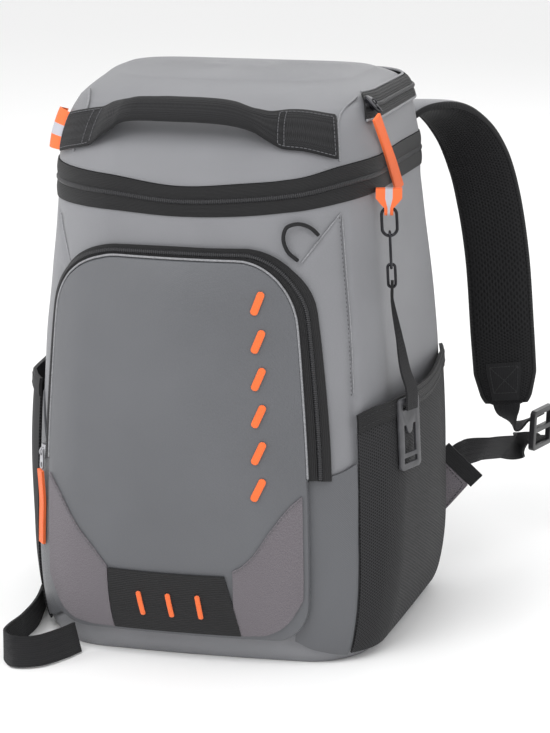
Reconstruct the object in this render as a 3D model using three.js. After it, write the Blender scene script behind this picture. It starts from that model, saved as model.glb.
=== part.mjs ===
// Cooler backpack standing on its base, front towards -Y, back towards +Y, in millimetres.
import * as THREE from 'three';

// Driving sizes of the box and its cloth
const bodyHeight = 442;
const backWidth = 320;
const frontWidth = 274;
const bodyDepth = 242;
const frontRadius = 54;
const backRadius = 38;
const frontCrown = 20;
const paddedWall = 6;
const meshThickness = 1.6;
const tapeThickness = 2;
const webThickness = 1.8;
const panelThickness = 1.2;
const seamGap = 0.3;
const layGap = 0.9;

// Driving sizes of the zips, webbing and pockets
const coilHeight = 4;
const lidZipHeight = 15;
const handleWidth = 30;
const gripWidth = 12;
const gripThickness = 8;
const gripLift = 13;
const pocketEdgeLift = 8;
const pocketBulge = 12;
const pocketWall = 2;
const pocketZipWidth = 17;
const sidePocketBulge = 11;
const hemHeight = 14;
const backPadThickness = 11;

// Driving sizes of the straps
const strapWidth = 52;
const strapThickness = 11;
const lowerWebWidth = 24;
const lockLength = 36;
const lockThickness = 5;
const wingReach = 38;
const wingThickness = 3;
const foldWidth = 14;

// Driving sizes of the hardware
const tabWidth = 20;
const ringLength = 24;
const ringWidth = 14;
const ringWire = 2.4;
const linkLength = 30;
const linkWidth = 9;
const linkWire = 2.2;
const swivelLength = 20;
const swivelWidth = 8;
const tetherWidth = 14;
const openerWidth = 28;
const openerLength = 57;
const openerThickness = 2.4;
const pullWidth = 9;
const pullThickness = 2.2;
const cordDiameter = 3;

// Body sections from the floor up: heights, widths, depths, corner radii and crown
// as shares of the body's height, width, depth, radii and crown
const sections = [
  { height: 0.0, front: 0.89, back: 0.915, fore: 0.468, aft: 0.455, corner: 0.85, crown: 0.25 },
  { height: 0.018, front: 0.94, back: 0.955, fore: 0.484, aft: 0.475, corner: 0.93, crown: 0.3 },
  { height: 0.057, front: 0.98, back: 0.99, fore: 0.492, aft: 0.496, corner: 1.0, crown: 0.4 },
  { height: 0.27, front: 1.0, back: 1.0, fore: 0.496, aft: 0.504, corner: 1.0, crown: 0.45 },
  { height: 0.565, front: 0.956, back: 0.956, fore: 0.479, aft: 0.496, corner: 1.04, crown: 0.55 },
  { height: 0.792, front: 0.905, back: 0.881, fore: 0.446, aft: 0.479, corner: 1.1, crown: 0.9 },
  { height: 0.871, front: 0.898, back: 0.869, fore: 0.438, aft: 0.471, corner: 1.12, crown: 1.0 },
  { height: 0.916, front: 0.883, back: 0.85, fore: 0.413, aft: 0.471, corner: 1.12, crown: 1.0 },
  { height: 0.955, front: 0.847, back: 0.819, fore: 0.347, aft: 0.463, corner: 1.08, crown: 0.9 },
  { height: 0.982, front: 0.788, back: 0.769, fore: 0.24, aft: 0.442, corner: 0.93, crown: 0.6 },
  { height: 1.0, front: 0.66, back: 0.65, fore: 0.11, aft: 0.37, corner: 0.74, crown: 0.4 },
];

// The zip band between lid and body dips at the front: its edges as shares of the height
const bandRows = [
  { at: -5, foot: 0.821, top: 0.88 },
  { at: -3.5, foot: 0.821, top: 0.88 },
  { at: -3, foot: 0.808, top: 0.871 },
  { at: -1.84, foot: 0.799, top: 0.864 },
  { at: -1.1, foot: 0.8, top: 0.861 },
  { at: -0.22, foot: 0.795, top: 0.847 },
  { at: 0.5, foot: 0.799, top: 0.854 },
  { at: 1.1, foot: 0.809, top: 0.864 },
  { at: 1.44, foot: 0.818, top: 0.879 },
  { at: 1.84, foot: 0.825, top: 0.885 },
  { at: 2.46, foot: 0.8235, top: 0.885 },
  { at: 3, foot: 0.821, top: 0.882 },
  { at: 3.5, foot: 0.821, top: 0.88 },
  { at: 5, foot: 0.821, top: 0.88 },
];
const bandEdge = (u, key) => rowAt(bandRows, 'at', u > 5 ? u - 10 : u)[key] * bodyHeight;
const bandFoot = (u) => bandEdge(u, 'foot');
const bandTop = (u) => bandEdge(u, 'top');
const sidePocketTop = 0.452 * bodyHeight;

// Stations round the bag: 0 front centre, 1 to 2 front corner, 2 to 3 side,
// 3 to 4 back corner, 5 back centre; negative stations are on the left
const halfGirth = [0.35, 0.7, 1, 1.2, 1.4, 1.6, 1.8, 2, 2.35, 2.7, 3, 3.25, 3.5, 3.75, 4];
const girth = [0, ...halfGirth, ...halfGirth.map((u) => -u).reverse()];

function mix(from, to, share) {
  return from + (to - from) * share;
}

// The row of a table at a share of its length, rows blended in straight lines
function rowAt(table, key, value) {
  let next = table.findIndex((row) => row[key] >= value);
  if (next < 0) next = table.length - 1;
  const last = Math.max(next - 1, 0);
  const span = table[next][key] - table[last][key] || 1;
  const share = THREE.MathUtils.clamp((value - table[last][key]) / span, 0, 1);
  const blended = {};
  for (const name of Object.keys(table[next])) {
    blended[name] = mix(table[last][name], table[next][name], share);
  }
  return blended;
}

// The plan of the body at a height: a trapezoid with rounded corners
function planAt(z) {
  const row = rowAt(sections, 'height', z / bodyHeight);
  const halfFront = row.front * frontWidth / 2;
  const halfBack = row.back * backWidth / 2;
  const front = -row.fore * bodyDepth;
  const back = row.aft * bodyDepth;
  const foreRadius = row.corner * frontRadius;
  const aftRadius = row.corner * backRadius;
  const lean = Math.atan2(back - front, halfBack - halfFront);
  const normal = { x: Math.sin(lean), y: -Math.cos(lean) };
  const foreCentre = { y: front + foreRadius };
  const aftCentre = { y: back - aftRadius };
  foreCentre.x = halfFront - (foreRadius + (foreCentre.y - front) * normal.y) / normal.x;
  aftCentre.x = halfFront - (aftRadius + (aftCentre.y - front) * normal.y) / normal.x;
  const crown = row.crown * frontCrown;
  const middle = (back - front) / 2;
  return { halfFront, front, back, foreRadius, aftRadius, normal, foreCentre, aftCentre, crown, middle };
}

// A point of the body's surface at a station and a height
function wallPoint(station, z) {
  const wrapped = station > 5 ? station - 10 : station;
  const side = wrapped < 0 ? -1 : 1;
  const u = Math.abs(wrapped);
  const plan = planAt(z);
  const sideAngle = Math.atan2(plan.normal.y, plan.normal.x);
  const { foreCentre, aftCentre, foreRadius, aftRadius, normal } = plan;
  let x = 0;
  let y = 0;
  if (u <= 1) {
    x = foreCentre.x * u;
    y = plan.front;
  } else if (u <= 2) {
    const angle = mix(-Math.PI / 2, sideAngle, u - 1);
    x = foreCentre.x + foreRadius * Math.cos(angle);
    y = foreCentre.y + foreRadius * Math.sin(angle);
  } else if (u <= 3) {
    x = mix(foreCentre.x + foreRadius * normal.x, aftCentre.x + aftRadius * normal.x, u - 2);
    y = mix(foreCentre.y + foreRadius * normal.y, aftCentre.y + aftRadius * normal.y, u - 2);
  } else if (u <= 4) {
    const angle = mix(sideAngle, Math.PI / 2, u - 3);
    x = aftCentre.x + aftRadius * Math.cos(angle);
    y = aftCentre.y + aftRadius * Math.sin(angle);
  } else {
    x = aftCentre.x * (5 - u);
    y = plan.back;
  }
  const across = Math.cos(Math.min(1, x / plan.halfFront) * Math.PI / 2);
  const forward = THREE.MathUtils.clamp(-y / plan.middle, 0, 1);
  return new THREE.Vector3(side * x, y - plan.crown * across * forward, z);
}

// The outward direction of the body's surface, level with the floor if asked
function wallNormal(station, z, level = false) {
  const du = 0.02;
  const dz = 0.002 * bodyHeight;
  const low = Math.max(0, z - dz);
  const high = Math.min(bodyHeight, z + dz);
  const along = wallPoint(station + du, z).sub(wallPoint(station - du, z));
  const up = wallPoint(station, high).sub(wallPoint(station, low));
  const normal = along.cross(up);
  if (level) normal.z = 0;
  return normal.normalize();
}

function onWall(station, z, lift, level = false) {
  return wallPoint(station, z).addScaledVector(wallNormal(station, z, level), lift);
}

// The direction along the wall, horizontal, towards rising stations
function wallAlong(station, z) {
  return wallPoint(station + 0.02, z).sub(wallPoint(station - 0.02, z)).normalize();
}

// A closed solid through closed rings with equal numbers of points; ends close to a tip
// or, for thin rings made of an outer row and a returning inner row, across the ring
function loft(rings, ends = {}) {
  const count = rings[0].length;
  const points = rings.flat().map((p) => p.clone());
  const faces = [];
  for (let r = 0; r + 1 < rings.length; r += 1) {
    for (let i = 0; i < count; i += 1) {
      const a = r * count + i;
      const b = r * count + (i + 1) % count;
      faces.push([a, b, b + count], [a, b + count, a + count]);
    }
  }
  const lastStart = (rings.length - 1) * count;
  if (ends.across) {
    for (let i = 0; i + 1 < count / 2; i += 1) {
      const j = count - 1 - i;
      faces.push([i, j, j - 1], [i, j - 1, i + 1]);
      faces.push([lastStart + i, lastStart + j - 1, lastStart + j]);
      faces.push([lastStart + i, lastStart + i + 1, lastStart + j - 1]);
    }
  } else {
    const first = ends.first || centreOf(rings[0]);
    const last = ends.last || centreOf(rings[rings.length - 1]);
    const tip = points.push(first) - 1;
    const tail = points.push(last) - 1;
    for (let i = 0; i < count; i += 1) {
      const j = (i + 1) % count;
      faces.push([tip, j, i], [tail, lastStart + i, lastStart + j]);
    }
  }
  return solidFrom(points, faces);
}

function centreOf(ring) {
  const sum = new THREE.Vector3();
  for (const point of ring) sum.add(point);
  return sum.divideScalar(ring.length);
}

// A geometry from points and faces, turned so that its faces point out
function solidFrom(points, faces) {
  let volume = 0;
  const cross = new THREE.Vector3();
  for (const [a, b, c] of faces) {
    volume += points[a].dot(cross.crossVectors(points[b], points[c]));
  }
  const index = volume > 0 ? faces.flat() : faces.flatMap(([a, b, c]) => [a, c, b]);
  const geometry = new THREE.BufferGeometry().setFromPoints(points);
  geometry.setIndex(index);
  geometry.computeVertexNormals();
  return geometry;
}

// A thin sheet on the wall between two stations; low and high are heights or functions of
// the station, inner and outer are lifts off the wall
function wallSheet({ from, to, steps, rows = 1, low, high, inner, outer, stations, level }) {
  const value = (item, u) => (typeof item === 'function' ? item(u) : item);
  const along = stations || Array.from({ length: steps + 1 }, (_, i) => mix(from, to, i / steps));
  const rings = along.map((u) => {
    const ups = Array.from({ length: rows + 1 }, (_, j) => j / rows);
    const edge = (lift) => ups.map((t) => {
      const z = mix(value(low, u), value(high, u), t);
      return onWall(u, z, lift, level);
    });
    return [...edge(outer), ...edge(inner).reverse()];
  });
  return loft(rings, { across: true });
}

// A strip of webbing or padding along a smooth route; each row of the route has a point,
// the direction of its width and shares of its width and thickness
function strip(route, width, thickness, steps, rounded = false) {
  const curve = new THREE.CatmullRomCurve3(route.map((row) => row.at), false, 'centripetal');
  const rings = [];
  for (let i = 0; i <= steps; i += 1) {
    const t = i / steps;
    const place = t * (route.length - 1);
    const before = Math.min(Math.floor(place), route.length - 2);
    const share = place - before;
    const tangent = curve.getTangent(t);
    const side = route[before].side.clone().lerp(route[before + 1].side, share);
    side.addScaledVector(tangent, -side.dot(tangent)).normalize();
    const face = new THREE.Vector3().crossVectors(tangent, side);
    const wide = mix(route[before].wide ?? 1, route[before + 1].wide ?? 1, share) * width / 2;
    const thick = mix(route[before].thick ?? 1, route[before + 1].thick ?? 1, share) * thickness / 2;
    const corners = rounded
      ? [[-1, -0.4], [-0.86, -1], [0.86, -1], [1, -0.4], [1, 0.4], [0.86, 1], [-0.86, 1], [-1, 0.4]]
      : [[-1, -1], [1, -1], [1, 1], [-1, 1]];
    rings.push(corners.map(([a, b]) => curve.getPoint(t)
      .addScaledVector(side, a * wide).addScaledVector(face, b * thick)));
  }
  return loft(rings, rounded ? {} : { across: true });
}

const looks = {
  nylon: { color: 0x8b8c90, roughness: 0.62 },
  pocketNylon: { color: 0x74767b, roughness: 0.6 },
  speckled: { color: 0x7c767b, roughness: 0.9 },
  blackTape: { color: 0x232325, roughness: 0.75 },
  webbing: { color: 0x262628, roughness: 0.85 },
  mesh: { color: 0x1b1b1d, roughness: 0.9 },
  orange: { color: 0xf7783f, roughness: 0.7 },
  metal: { color: 0x2a2a2d, roughness: 0.35, metalness: 0.8 },
  plastic: { color: 0x1f1f21, roughness: 0.5 },
  opener: { color: 0x55565a, roughness: 0.45 },
};

const backpack = new THREE.Group();

function piece(name, geometry, look) {
  const mesh = new THREE.Mesh(geometry, new THREE.MeshStandardMaterial(looks[look]));
  mesh.name = name;
  backpack.add(mesh);
}

// Padded body, hollow, open at the top
function bodyShell() {
  const outerHeights = [0, 0.018, 0.036, 0.057, 0.15, 0.27, 0.42, 0.565, 0.68].map((h) => h * bodyHeight);
  const innerHeights = [0.565, 0.27, 0.057].map((h) => h * bodyHeight);
  const ring = (z, lift) => girth.map((u) => onWall(u, z, lift, true));
  const rim = (lift) => girth.map((u) => onWall(u, bandFoot(u) - seamGap, lift, true));
  const outer = [...outerHeights.map((z) => ring(z, 0)), rim(0)];
  const inner = [rim(-paddedWall), ...[...innerHeights, paddedWall].map((z) => ring(z, -paddedWall))];
  return loft([...outer, ...inner], {
    first: new THREE.Vector3(0, 0, 0),
    last: new THREE.Vector3(0, 0, paddedWall),
  });
}

// Padded domed lid, hollow, open below
function lidShell() {
  const outerHeights = [0.9, 0.916, 0.936, 0.955, 0.97, 0.982, 0.992, 1].map((h) => h * bodyHeight);
  const innerHeights = [1, 0.982, 0.955, 0.916].map((h) => h * bodyHeight);
  const crest = planAt(bodyHeight);
  const crestPoint = (drop) => new THREE.Vector3(0, (crest.front + crest.back) / 2, bodyHeight - drop);
  const outer = outerHeights.map((z) => girth.map((u) => onWall(u, z, 0)));
  const inner = innerHeights.map((z) => girth.map((u) => onWall(u, z, -paddedWall)));
  const rim = (lift) => girth.map((u) => onWall(u, bandTop(u) + seamGap, lift, true));
  return loft([...outer.reverse(), rim(0), rim(-paddedWall), ...inner.reverse()], {
    first: crestPoint(0),
    last: crestPoint(paddedWall),
  });
}

// The zip band runs round the front and sides; a cloth hinge closes it at the back
const zipEnd = 3.7;
const bandStations = girth.filter((u) => Math.abs(u) < zipEnd);
const zipStations = [-zipEnd, ...bandStations.sort((a, b) => a - b), zipEnd];

function zipBand() {
  const proud = tapeThickness / 2;
  const coilFoot = (u) => mix(bandFoot(u), bandTop(u), 0.5) - coilHeight / 2;
  const coilTop = (u) => coilFoot(u) + coilHeight;
  const tape = (low, high) => wallSheet({
    stations: zipStations, low, high, inner: -proud, outer: proud, level: true,
  });
  piece('main_zipper_lower', tape(bandFoot, (u) => coilFoot(u) - seamGap), 'blackTape');
  piece('main_zipper_upper', tape((u) => coilTop(u) + seamGap, bandTop), 'blackTape');
  piece('main_zipper_coil', wallSheet({
    stations: zipStations, low: coilFoot, high: coilTop, inner: -proud, outer: proud + 0.8, level: true,
  }), 'blackTape');
  piece('lid_hinge', wallSheet({
    from: zipEnd + 0.01, to: 10 - zipEnd - 0.01, steps: 8, low: bandFoot, high: bandTop,
    inner: -proud, outer: proud, level: true,
  }), 'nylon');
}

// Zip along the lid's upper edge, from the right front corner round to the back
const lidZip = { from: 1.72, to: 4.3, low: 0.945 * bodyHeight };

function lidZipper() {
  piece('lid_zipper', wallSheet({
    from: lidZip.from, to: lidZip.to, steps: 20, rows: 3, low: lidZip.low, high: lidZip.low + lidZipHeight,
    inner: 1.6 * layGap, outer: tapeThickness + 1.6 * layGap,
  }), 'blackTape');
}

// Webbing handle: flat ends on the lid, a raised folded grip between them
const handleRows = [
  { at: -1.66, centre: 0.911, wide: 0.9, lift: 0, thick: 0.22 },
  { at: -1.5, centre: 0.919, wide: 0.87, lift: 0, thick: 0.22 },
  { at: -1.25, centre: 0.931, wide: 0.78, lift: 0.05, thick: 0.3 },
  { at: -1.08, centre: 0.937, wide: 0.64, lift: 0.5, thick: 0.7 },
  { at: -0.8, centre: 0.939, wide: 0.4, lift: 0.9, thick: 1 },
  { at: -0.4, centre: 0.941, wide: 0.4, lift: 1, thick: 1 },
  { at: 0, centre: 0.941, wide: 0.4, lift: 1, thick: 1 },
  { at: 0.4, centre: 0.939, wide: 0.4, lift: 0.9, thick: 1 },
  { at: 0.66, centre: 0.936, wide: 0.45, lift: 0.6, thick: 0.8 },
  { at: 0.84, centre: 0.938, wide: 0.62, lift: 0.15, thick: 0.5 },
  { at: 1.05, centre: 0.937, wide: 0.8, lift: 0, thick: 0.3 },
  { at: 1.42, centre: 0.923, wide: 0.96, lift: 0, thick: 0.22 },
];

function carryHandle() {
  const row = (u) => rowAt(handleRows, 'at', u);
  const stations = [];
  for (const [i, entry] of handleRows.entries()) {
    if (i > 0) stations.push((entry.at + handleRows[i - 1].at) / 2);
    stations.push(entry.at);
  }
  const width = (u) => Math.max(row(u).wide * handleWidth, gripWidth);
  piece('carry_handle', loft(stations.map((u) => {
    const { centre, lift, thick } = row(u);
    const low = 2.2 * layGap + lift * gripLift;
    const middle = centre * bodyHeight;
    const heights = [-0.5, -0.25, 0, 0.25, 0.5].map((share) => middle + share * width(u));
    const outside = heights.map((z) => onWall(u, z, low + thick * gripThickness));
    const inside = heights.map((z) => onWall(u, z, low)).reverse();
    return [...outside, ...inside];
  }), { across: true }), 'webbing');
}

// Front pocket: a rounded rectangle on the wall, its face bulging from edge to middle
const pocket = { middle: -0.2, halfSpan: 1.2, foot: 0.048 * bodyHeight, top: 0.724 * bodyHeight };
const pocketHalfHeight = (pocket.top - pocket.foot) / 2;
const pocketCentre = (pocket.top + pocket.foot) / 2;
const pocketCorners = [
  { across: 1, up: -1, wide: 0.22, tall: 0.18 },
  { across: 1, up: 1, wide: 0.46, tall: 0.32 },
  { across: -1, up: 1, wide: 0.46, tall: 0.32 },
  { across: -1, up: -1, wide: 0.3, tall: 0.2 },
];
const cornerSteps = 4;

// Points of the pocket's outline as shares of its half span and half height, from the
// lower right corner round by the top to the lower left, with straight sides between
function pocketOutline() {
  const outline = [];
  const quarter = Math.PI / 2;
  pocketCorners.forEach(({ across, up, wide, tall }, corner) => {
    for (let i = 0; i <= cornerSteps; i += 1) {
      const angle = (corner - 1) * quarter + quarter * i / cornerSteps;
      outline.push({
        a: across * (1 - wide) + wide * Math.cos(angle),
        b: up * (1 - tall) + tall * Math.sin(angle),
      });
    }
    const next = pocketCorners[(corner + 1) % pocketCorners.length];
    const start = outline[outline.length - 1];
    const end = corner % 2 === 0
      ? { a: next.across, b: next.up * (1 - next.tall) }
      : { a: next.across * (1 - next.wide), b: next.up };
    for (const share of [1 / 3, 2 / 3]) {
      outline.push({ a: mix(start.a, end.a, share), b: mix(start.b, end.b, share) });
    }
  });
  return outline;
}

function pocketPlace({ a, b }, spread) {
  return {
    u: pocket.middle + a * spread * pocket.halfSpan,
    z: pocketCentre + b * spread * pocketHalfHeight,
  };
}

// How far the pocket's face stands off the wall
function pocketLift(u, z) {
  const a = THREE.MathUtils.clamp((u - pocket.middle) / pocket.halfSpan, -1, 1);
  const b = THREE.MathUtils.clamp((z - pocketCentre) / pocketHalfHeight, -1, 1);
  return pocketEdgeLift + pocketBulge * (1 - a * a) * (1 - b * b * b * b);
}

function frontPocket() {
  const outline = pocketOutline();
  const faceRing = (spread, depth, rise = 1) => outline.map((point) => {
    const { u, z } = pocketPlace(point, spread);
    return onWall(u, z, rise * pocketLift(u, z) - depth);
  });
  const footRing = (spread) => outline.map((point) => {
    const { u, z } = pocketPlace(point, spread);
    return onWall(u, z, layGap);
  });
  const middle = (depth) => onWall(
    pocket.middle, pocketCentre, pocketLift(pocket.middle, pocketCentre) - depth);
  const spreads = [0.25, 0.5, 0.75, 0.92];
  const edge = [faceRing(0.98, 0), faceRing(1, 0, 0.72), footRing(1)];
  const outer = [...spreads.map((k) => faceRing(k, 0)), ...edge];
  const inner = [footRing(0.975), faceRing(0.965, pocketWall, 0.8)];
  inner.push(...spreads.slice().reverse().map((k) => faceRing(k, pocketWall)));
  const ends = { first: middle(0), last: middle(pocketWall) };
  piece('front_pocket', loft([...outer, ...inner], ends), 'pocketNylon');
}

// Zip round the pocket's sides and top, sloping from the face's edge down to the wall
const zipLegEnd = -0.12;

function pocketZipper() {
  const outline = pocketOutline();
  const arc = outline.filter(({ b }, i) => i >= cornerSteps && b > zipLegEnd + 0.05);
  const route = [{ a: 1, b: zipLegEnd }, ...arc, { a: -1, b: zipLegEnd }];
  const perStation = planAt(pocketCentre).foreCentre.x;
  const rings = route.map((point) => {
    const { u, z } = pocketPlace(point, 1);
    const steep = Math.abs(point.a) ** 3;
    const right = point.a > 0 ? 1 : 0.45;
    const width = pocketZipWidth * mix(0.44, right, steep);
    const size = Math.hypot(point.a, point.b);
    const out = { u: point.a / size / perStation, z: point.b / size };
    const at = (distance, lift) => onWall(u + out.u * distance, z + out.z * distance, lift);
    const gap = 2 * seamGap;
    return [
      at(gap, pocketEdgeLift * 0.62), at(gap + width, layGap + tapeThickness * 0.6),
      at(gap + width, layGap), at(gap, pocketEdgeLift * 0.62 - tapeThickness),
    ];
  });
  piece('pocket_zipper', loft(rings, { across: true }), 'blackTape');
}

// Cloth laid on the pocket's face between two stations, with table rows for its edges
function pocketSheet(name, rows, look) {
  const first = rows[0].at;
  const last = rows[rows.length - 1].at;
  const edge = (key, u) => rowAt(rows, 'at', u)[key] * bodyHeight;
  const steps = rows.length * 2;
  const along = Array.from({ length: steps + 1 }, (_, i) => mix(first, last, i / steps));
  const ups = [0, 0.25, 0.5, 0.75, 1];
  piece(name, loft(along.map((u) => {
    const heights = ups.map((t) => mix(edge('low', u), edge('high', u), t));
    const side = (extra) => heights.map((z) => onWall(u, z, pocketLift(u, z) + seamGap + extra));
    return [...side(panelThickness), ...side(0).reverse()];
  }), { across: true }), look);
}

const patch = { left: -0.75, right: 0.34, foot: 0.06, top: 0.172 };

function pocketPanels() {
  pocketSheet('pocket_side_panel_right', [
    { at: patch.right + 0.01, low: 0.06, high: 0.182 },
    { at: 0.42, low: 0.06, high: 0.19 },
    { at: 0.52, low: 0.061, high: 0.21 },
    { at: 0.68, low: 0.066, high: 0.258 },
    { at: 0.84, low: 0.09, high: 0.299 },
    { at: 0.95, low: 0.13, high: 0.318 },
  ], 'speckled');
  pocketSheet('pocket_side_panel_left', [
    { at: -1.35, low: 0.14, high: 0.324 },
    { at: -1.22, low: 0.083, high: 0.296 },
    { at: -1.02, low: 0.062, high: 0.235 },
    { at: -0.88, low: 0.06, high: 0.203 },
    { at: patch.left - 0.01, low: 0.06, high: 0.174 },
  ], 'speckled');
  pocketSheet('pocket_patch', [
    { at: patch.left, low: patch.foot, high: patch.top },
    { at: mix(patch.left, patch.right, 0.5), low: patch.foot, high: patch.top },
    { at: patch.right, low: patch.foot, high: patch.top },
  ], 'blackTape');
}

// Raised orange bars on the black patch, and a column of plain slanted bars above
function orangeBar(name, { from, to, low, high, thick, wide, under }) {
  const point = (share) => {
    const u = mix(from, to, share);
    const z = mix(low, high, share);
    return onWall(u, z, pocketLift(u, z) + under + thick / 2);
  };
  const side = wallAlong(from, low);
  const route = [0, 0.5, 1].map((share) => ({ at: point(share), side }));
  piece(name, strip(route, wide, thick, 4), 'orange');
}

function orangeBars() {
  const onPatch = panelThickness + 2 * seamGap;
  const barCount = 3;
  for (let i = 0; i < barCount; i += 1) {
    const top = mix(-0.48, 0.04, i / (barCount - 1));
    orangeBar(`patch_bar_${i + 1}`, {
      from: top + 0.03, to: top, low: 0.09 * bodyHeight, high: 0.136 * bodyHeight,
      thick: 1.6, wide: 4, under: onPatch,
    });
  }
  const accentCount = 6;
  for (let i = 0; i < accentCount; i += 1) {
    const share = i / (accentCount - 1);
    const low = mix(0.31, 0.635, share) * bodyHeight;
    const from = mix(0.53, 0.59, share);
    orangeBar(`accent_bar_${i + 1}`, {
      from, to: from + 0.1, low, high: low + 0.04 * bodyHeight, thick: 0.8, wide: 6, under: 2 * seamGap,
    });
  }
}

// Elastic cord loop on the front's upper right, both ends sewn at the slanting seam
function cordLoop() {
  const lift = 2 * seamGap + cordDiameter / 2;
  const rows = [
    { at: 1.24, up: 0.766, lift: 0 },
    { at: 1.17, up: 0.781, lift: 1 },
    { at: 1.08, up: 0.788, lift: 1.6 },
    { at: 0.98, up: 0.781, lift: 1.6 },
    { at: 0.94, up: 0.762, lift: 1.6 },
    { at: 0.97, up: 0.742, lift: 1 },
    { at: 1.06, up: 0.724, lift: 0 },
  ];
  const curve = new THREE.CatmullRomCurve3(
    rows.map((row) => onWall(row.at, row.up * bodyHeight, lift + row.lift)));
  const circle = new THREE.Shape().absarc(0, 0, cordDiameter / 2, 0, 2 * Math.PI);
  piece('cord_loop', new THREE.ExtrudeGeometry(circle, {
    steps: 20, extrudePath: curve, curveSegments: 4,
  }), 'webbing');
}

// Mesh pockets on both sides, open at the top, with an elastic hem
const sidePocketRows = [
  { at: 1.47, hem: 0, bulge: 0 },
  { at: 1.68, hem: 0.012, bulge: 0.45 },
  { at: 2.03, hem: 0.017, bulge: 0.9 },
  { at: 2.45, hem: 0.01, bulge: 1 },
  { at: 2.7, hem: 0.015, bulge: 0.9 },
  { at: 2.95, hem: 0.024, bulge: 0.5 },
  { at: 3.1, hem: 0.031, bulge: 0.25 },
  { at: 3.25, hem: 0.036, bulge: 0 },
];
const hemTopAt = (u) => sidePocketTop + rowAt(sidePocketRows, 'at', Math.abs(u)).hem * bodyHeight;
const bulgeAt = (u) => rowAt(sidePocketRows, 'at', Math.abs(u)).bulge * sidePocketBulge;
const sidePocketStart = { right: 1.47, left: 1.86 };

function sidePocket(side, name) {
  const start = sidePocketStart[name];
  const spread = [0, 0.05, 0.11, 0.2, 0.3, 0.42, 0.55, 0.68, 0.78, 0.86, 0.93, 1];
  const stations = spread.map((share) => side * mix(start, 3.25, share));
  const foot = 0.02 * bodyHeight;
  const fade = (u) => Math.min(1, (Math.abs(u) - start) / 0.25);
  const lift = (u, t) => (
    1.6 * layGap + fade(u) * bulgeAt(u) * Math.min(1, Math.sin(Math.PI * (0.02 + 0.58 * t))));
  const rowsUp = [0, 0.06, 0.12, 0.35, 0.65, 1];
  piece(`side_pocket_${name}`, loft(stations.map((u) => {
    const top = hemTopAt(u) - hemHeight - 2 * seamGap;
    const edge = (extra) => rowsUp.map((t) => onWall(u, mix(foot, top, t), lift(u, t) + extra));
    return [...edge(meshThickness), ...edge(0).reverse()];
  }), { across: true }), 'mesh');
  piece(`side_pocket_hem_${name}`, loft(stations.map((u) => {
    const top = hemTopAt(u);
    const base = 1.6 * layGap + fade(u) * bulgeAt(u) * 0.97;
    const heights = [top - hemHeight, top - hemHeight / 2, top];
    const edge = (extra) => heights.map((z) => onWall(u, z, base + extra));
    return [...edge(meshThickness + 1), ...edge(0).reverse()];
  }), { across: true }), 'blackTape');
}

// Padded panel on the wearer's side, over the hinge
function backPanel() {
  const rise = [0, 0.72, 1, 1, 1, 0.72, 0];
  const spread = (s) => Math.min(1, 0.35 + 6 * Math.min(s, 1 - s));
  const cross = [0, 0.05, 0.2, 0.5, 0.8, 0.95, 1];
  const from = 3.95;
  const to = 10 - from;
  const foot = 0.045 * bodyHeight;
  const top = 0.925 * bodyHeight;
  const ups = [0, 0.04, 0.3, 0.55, 0.8, 0.96, 1];
  const base = seamGap + tapeThickness / 2;
  piece('back_panel', loft(cross.map((s) => {
    const u = mix(from, to, s);
    const outside = ups.map((t, i) => onWall(
      u, mix(foot, top, t), base + 3 + (backPadThickness - 3) * Math.min(rise[i], spread(s))));
    const inside = ups.map((t) => onWall(u, mix(foot, top, t), base)).reverse();
    return [...outside, ...inside];
  }), { across: true }), 'mesh');
}

// Straps: routes with shares of the back's width, the body's depth and its height
function strapRoute(rows, side) {
  return rows.map(({ out, back, up, east, south, rise, wide, thick }) => ({
    at: new THREE.Vector3(side * out * backWidth, back * bodyDepth, up * bodyHeight),
    side: new THREE.Vector3(side * east, south, rise),
    wide,
    thick,
  }));
}

const rightStrapRows = [
  { out: 0.27, back: 0.5385, up: 0.83, east: 1, south: 0, rise: 0, wide: 0.86, thick: 0.6 },
  { out: 0.282, back: 0.571, up: 0.866, east: 1, south: -0.1, rise: 0, wide: 0.9, thick: 0.7 },
  { out: 0.345, back: 0.67, up: 0.893, east: 0.85, south: -0.5, rise: 0.05, wide: 0.95, thick: 0.8 },
  { out: 0.425, back: 0.755, up: 0.883, east: 0.85, south: -0.45, rise: 0.15, wide: 1, thick: 1 },
  { out: 0.48, back: 0.82, up: 0.84, east: 0.92, south: -0.3, rise: 0.2, wide: 1, thick: 1 },
  { out: 0.52, back: 0.865, up: 0.776, east: 0.97, south: -0.1, rise: 0.2, wide: 1, thick: 1 },
  { out: 0.547, back: 0.885, up: 0.7, east: 1, south: 0, rise: 0.1, wide: 1, thick: 1 },
  { out: 0.572, back: 0.9, up: 0.586, east: 1, south: 0, rise: 0, wide: 1, thick: 1 },
  { out: 0.593, back: 0.88, up: 0.434, east: 1, south: 0, rise: 0, wide: 1, thick: 1 },
  { out: 0.606, back: 0.845, up: 0.357, east: 1, south: 0, rise: 0, wide: 0.98, thick: 1 },
  { out: 0.615, back: 0.82, up: 0.295, east: 1, south: 0, rise: 0, wide: 0.7, thick: 0.6 },
];

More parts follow.
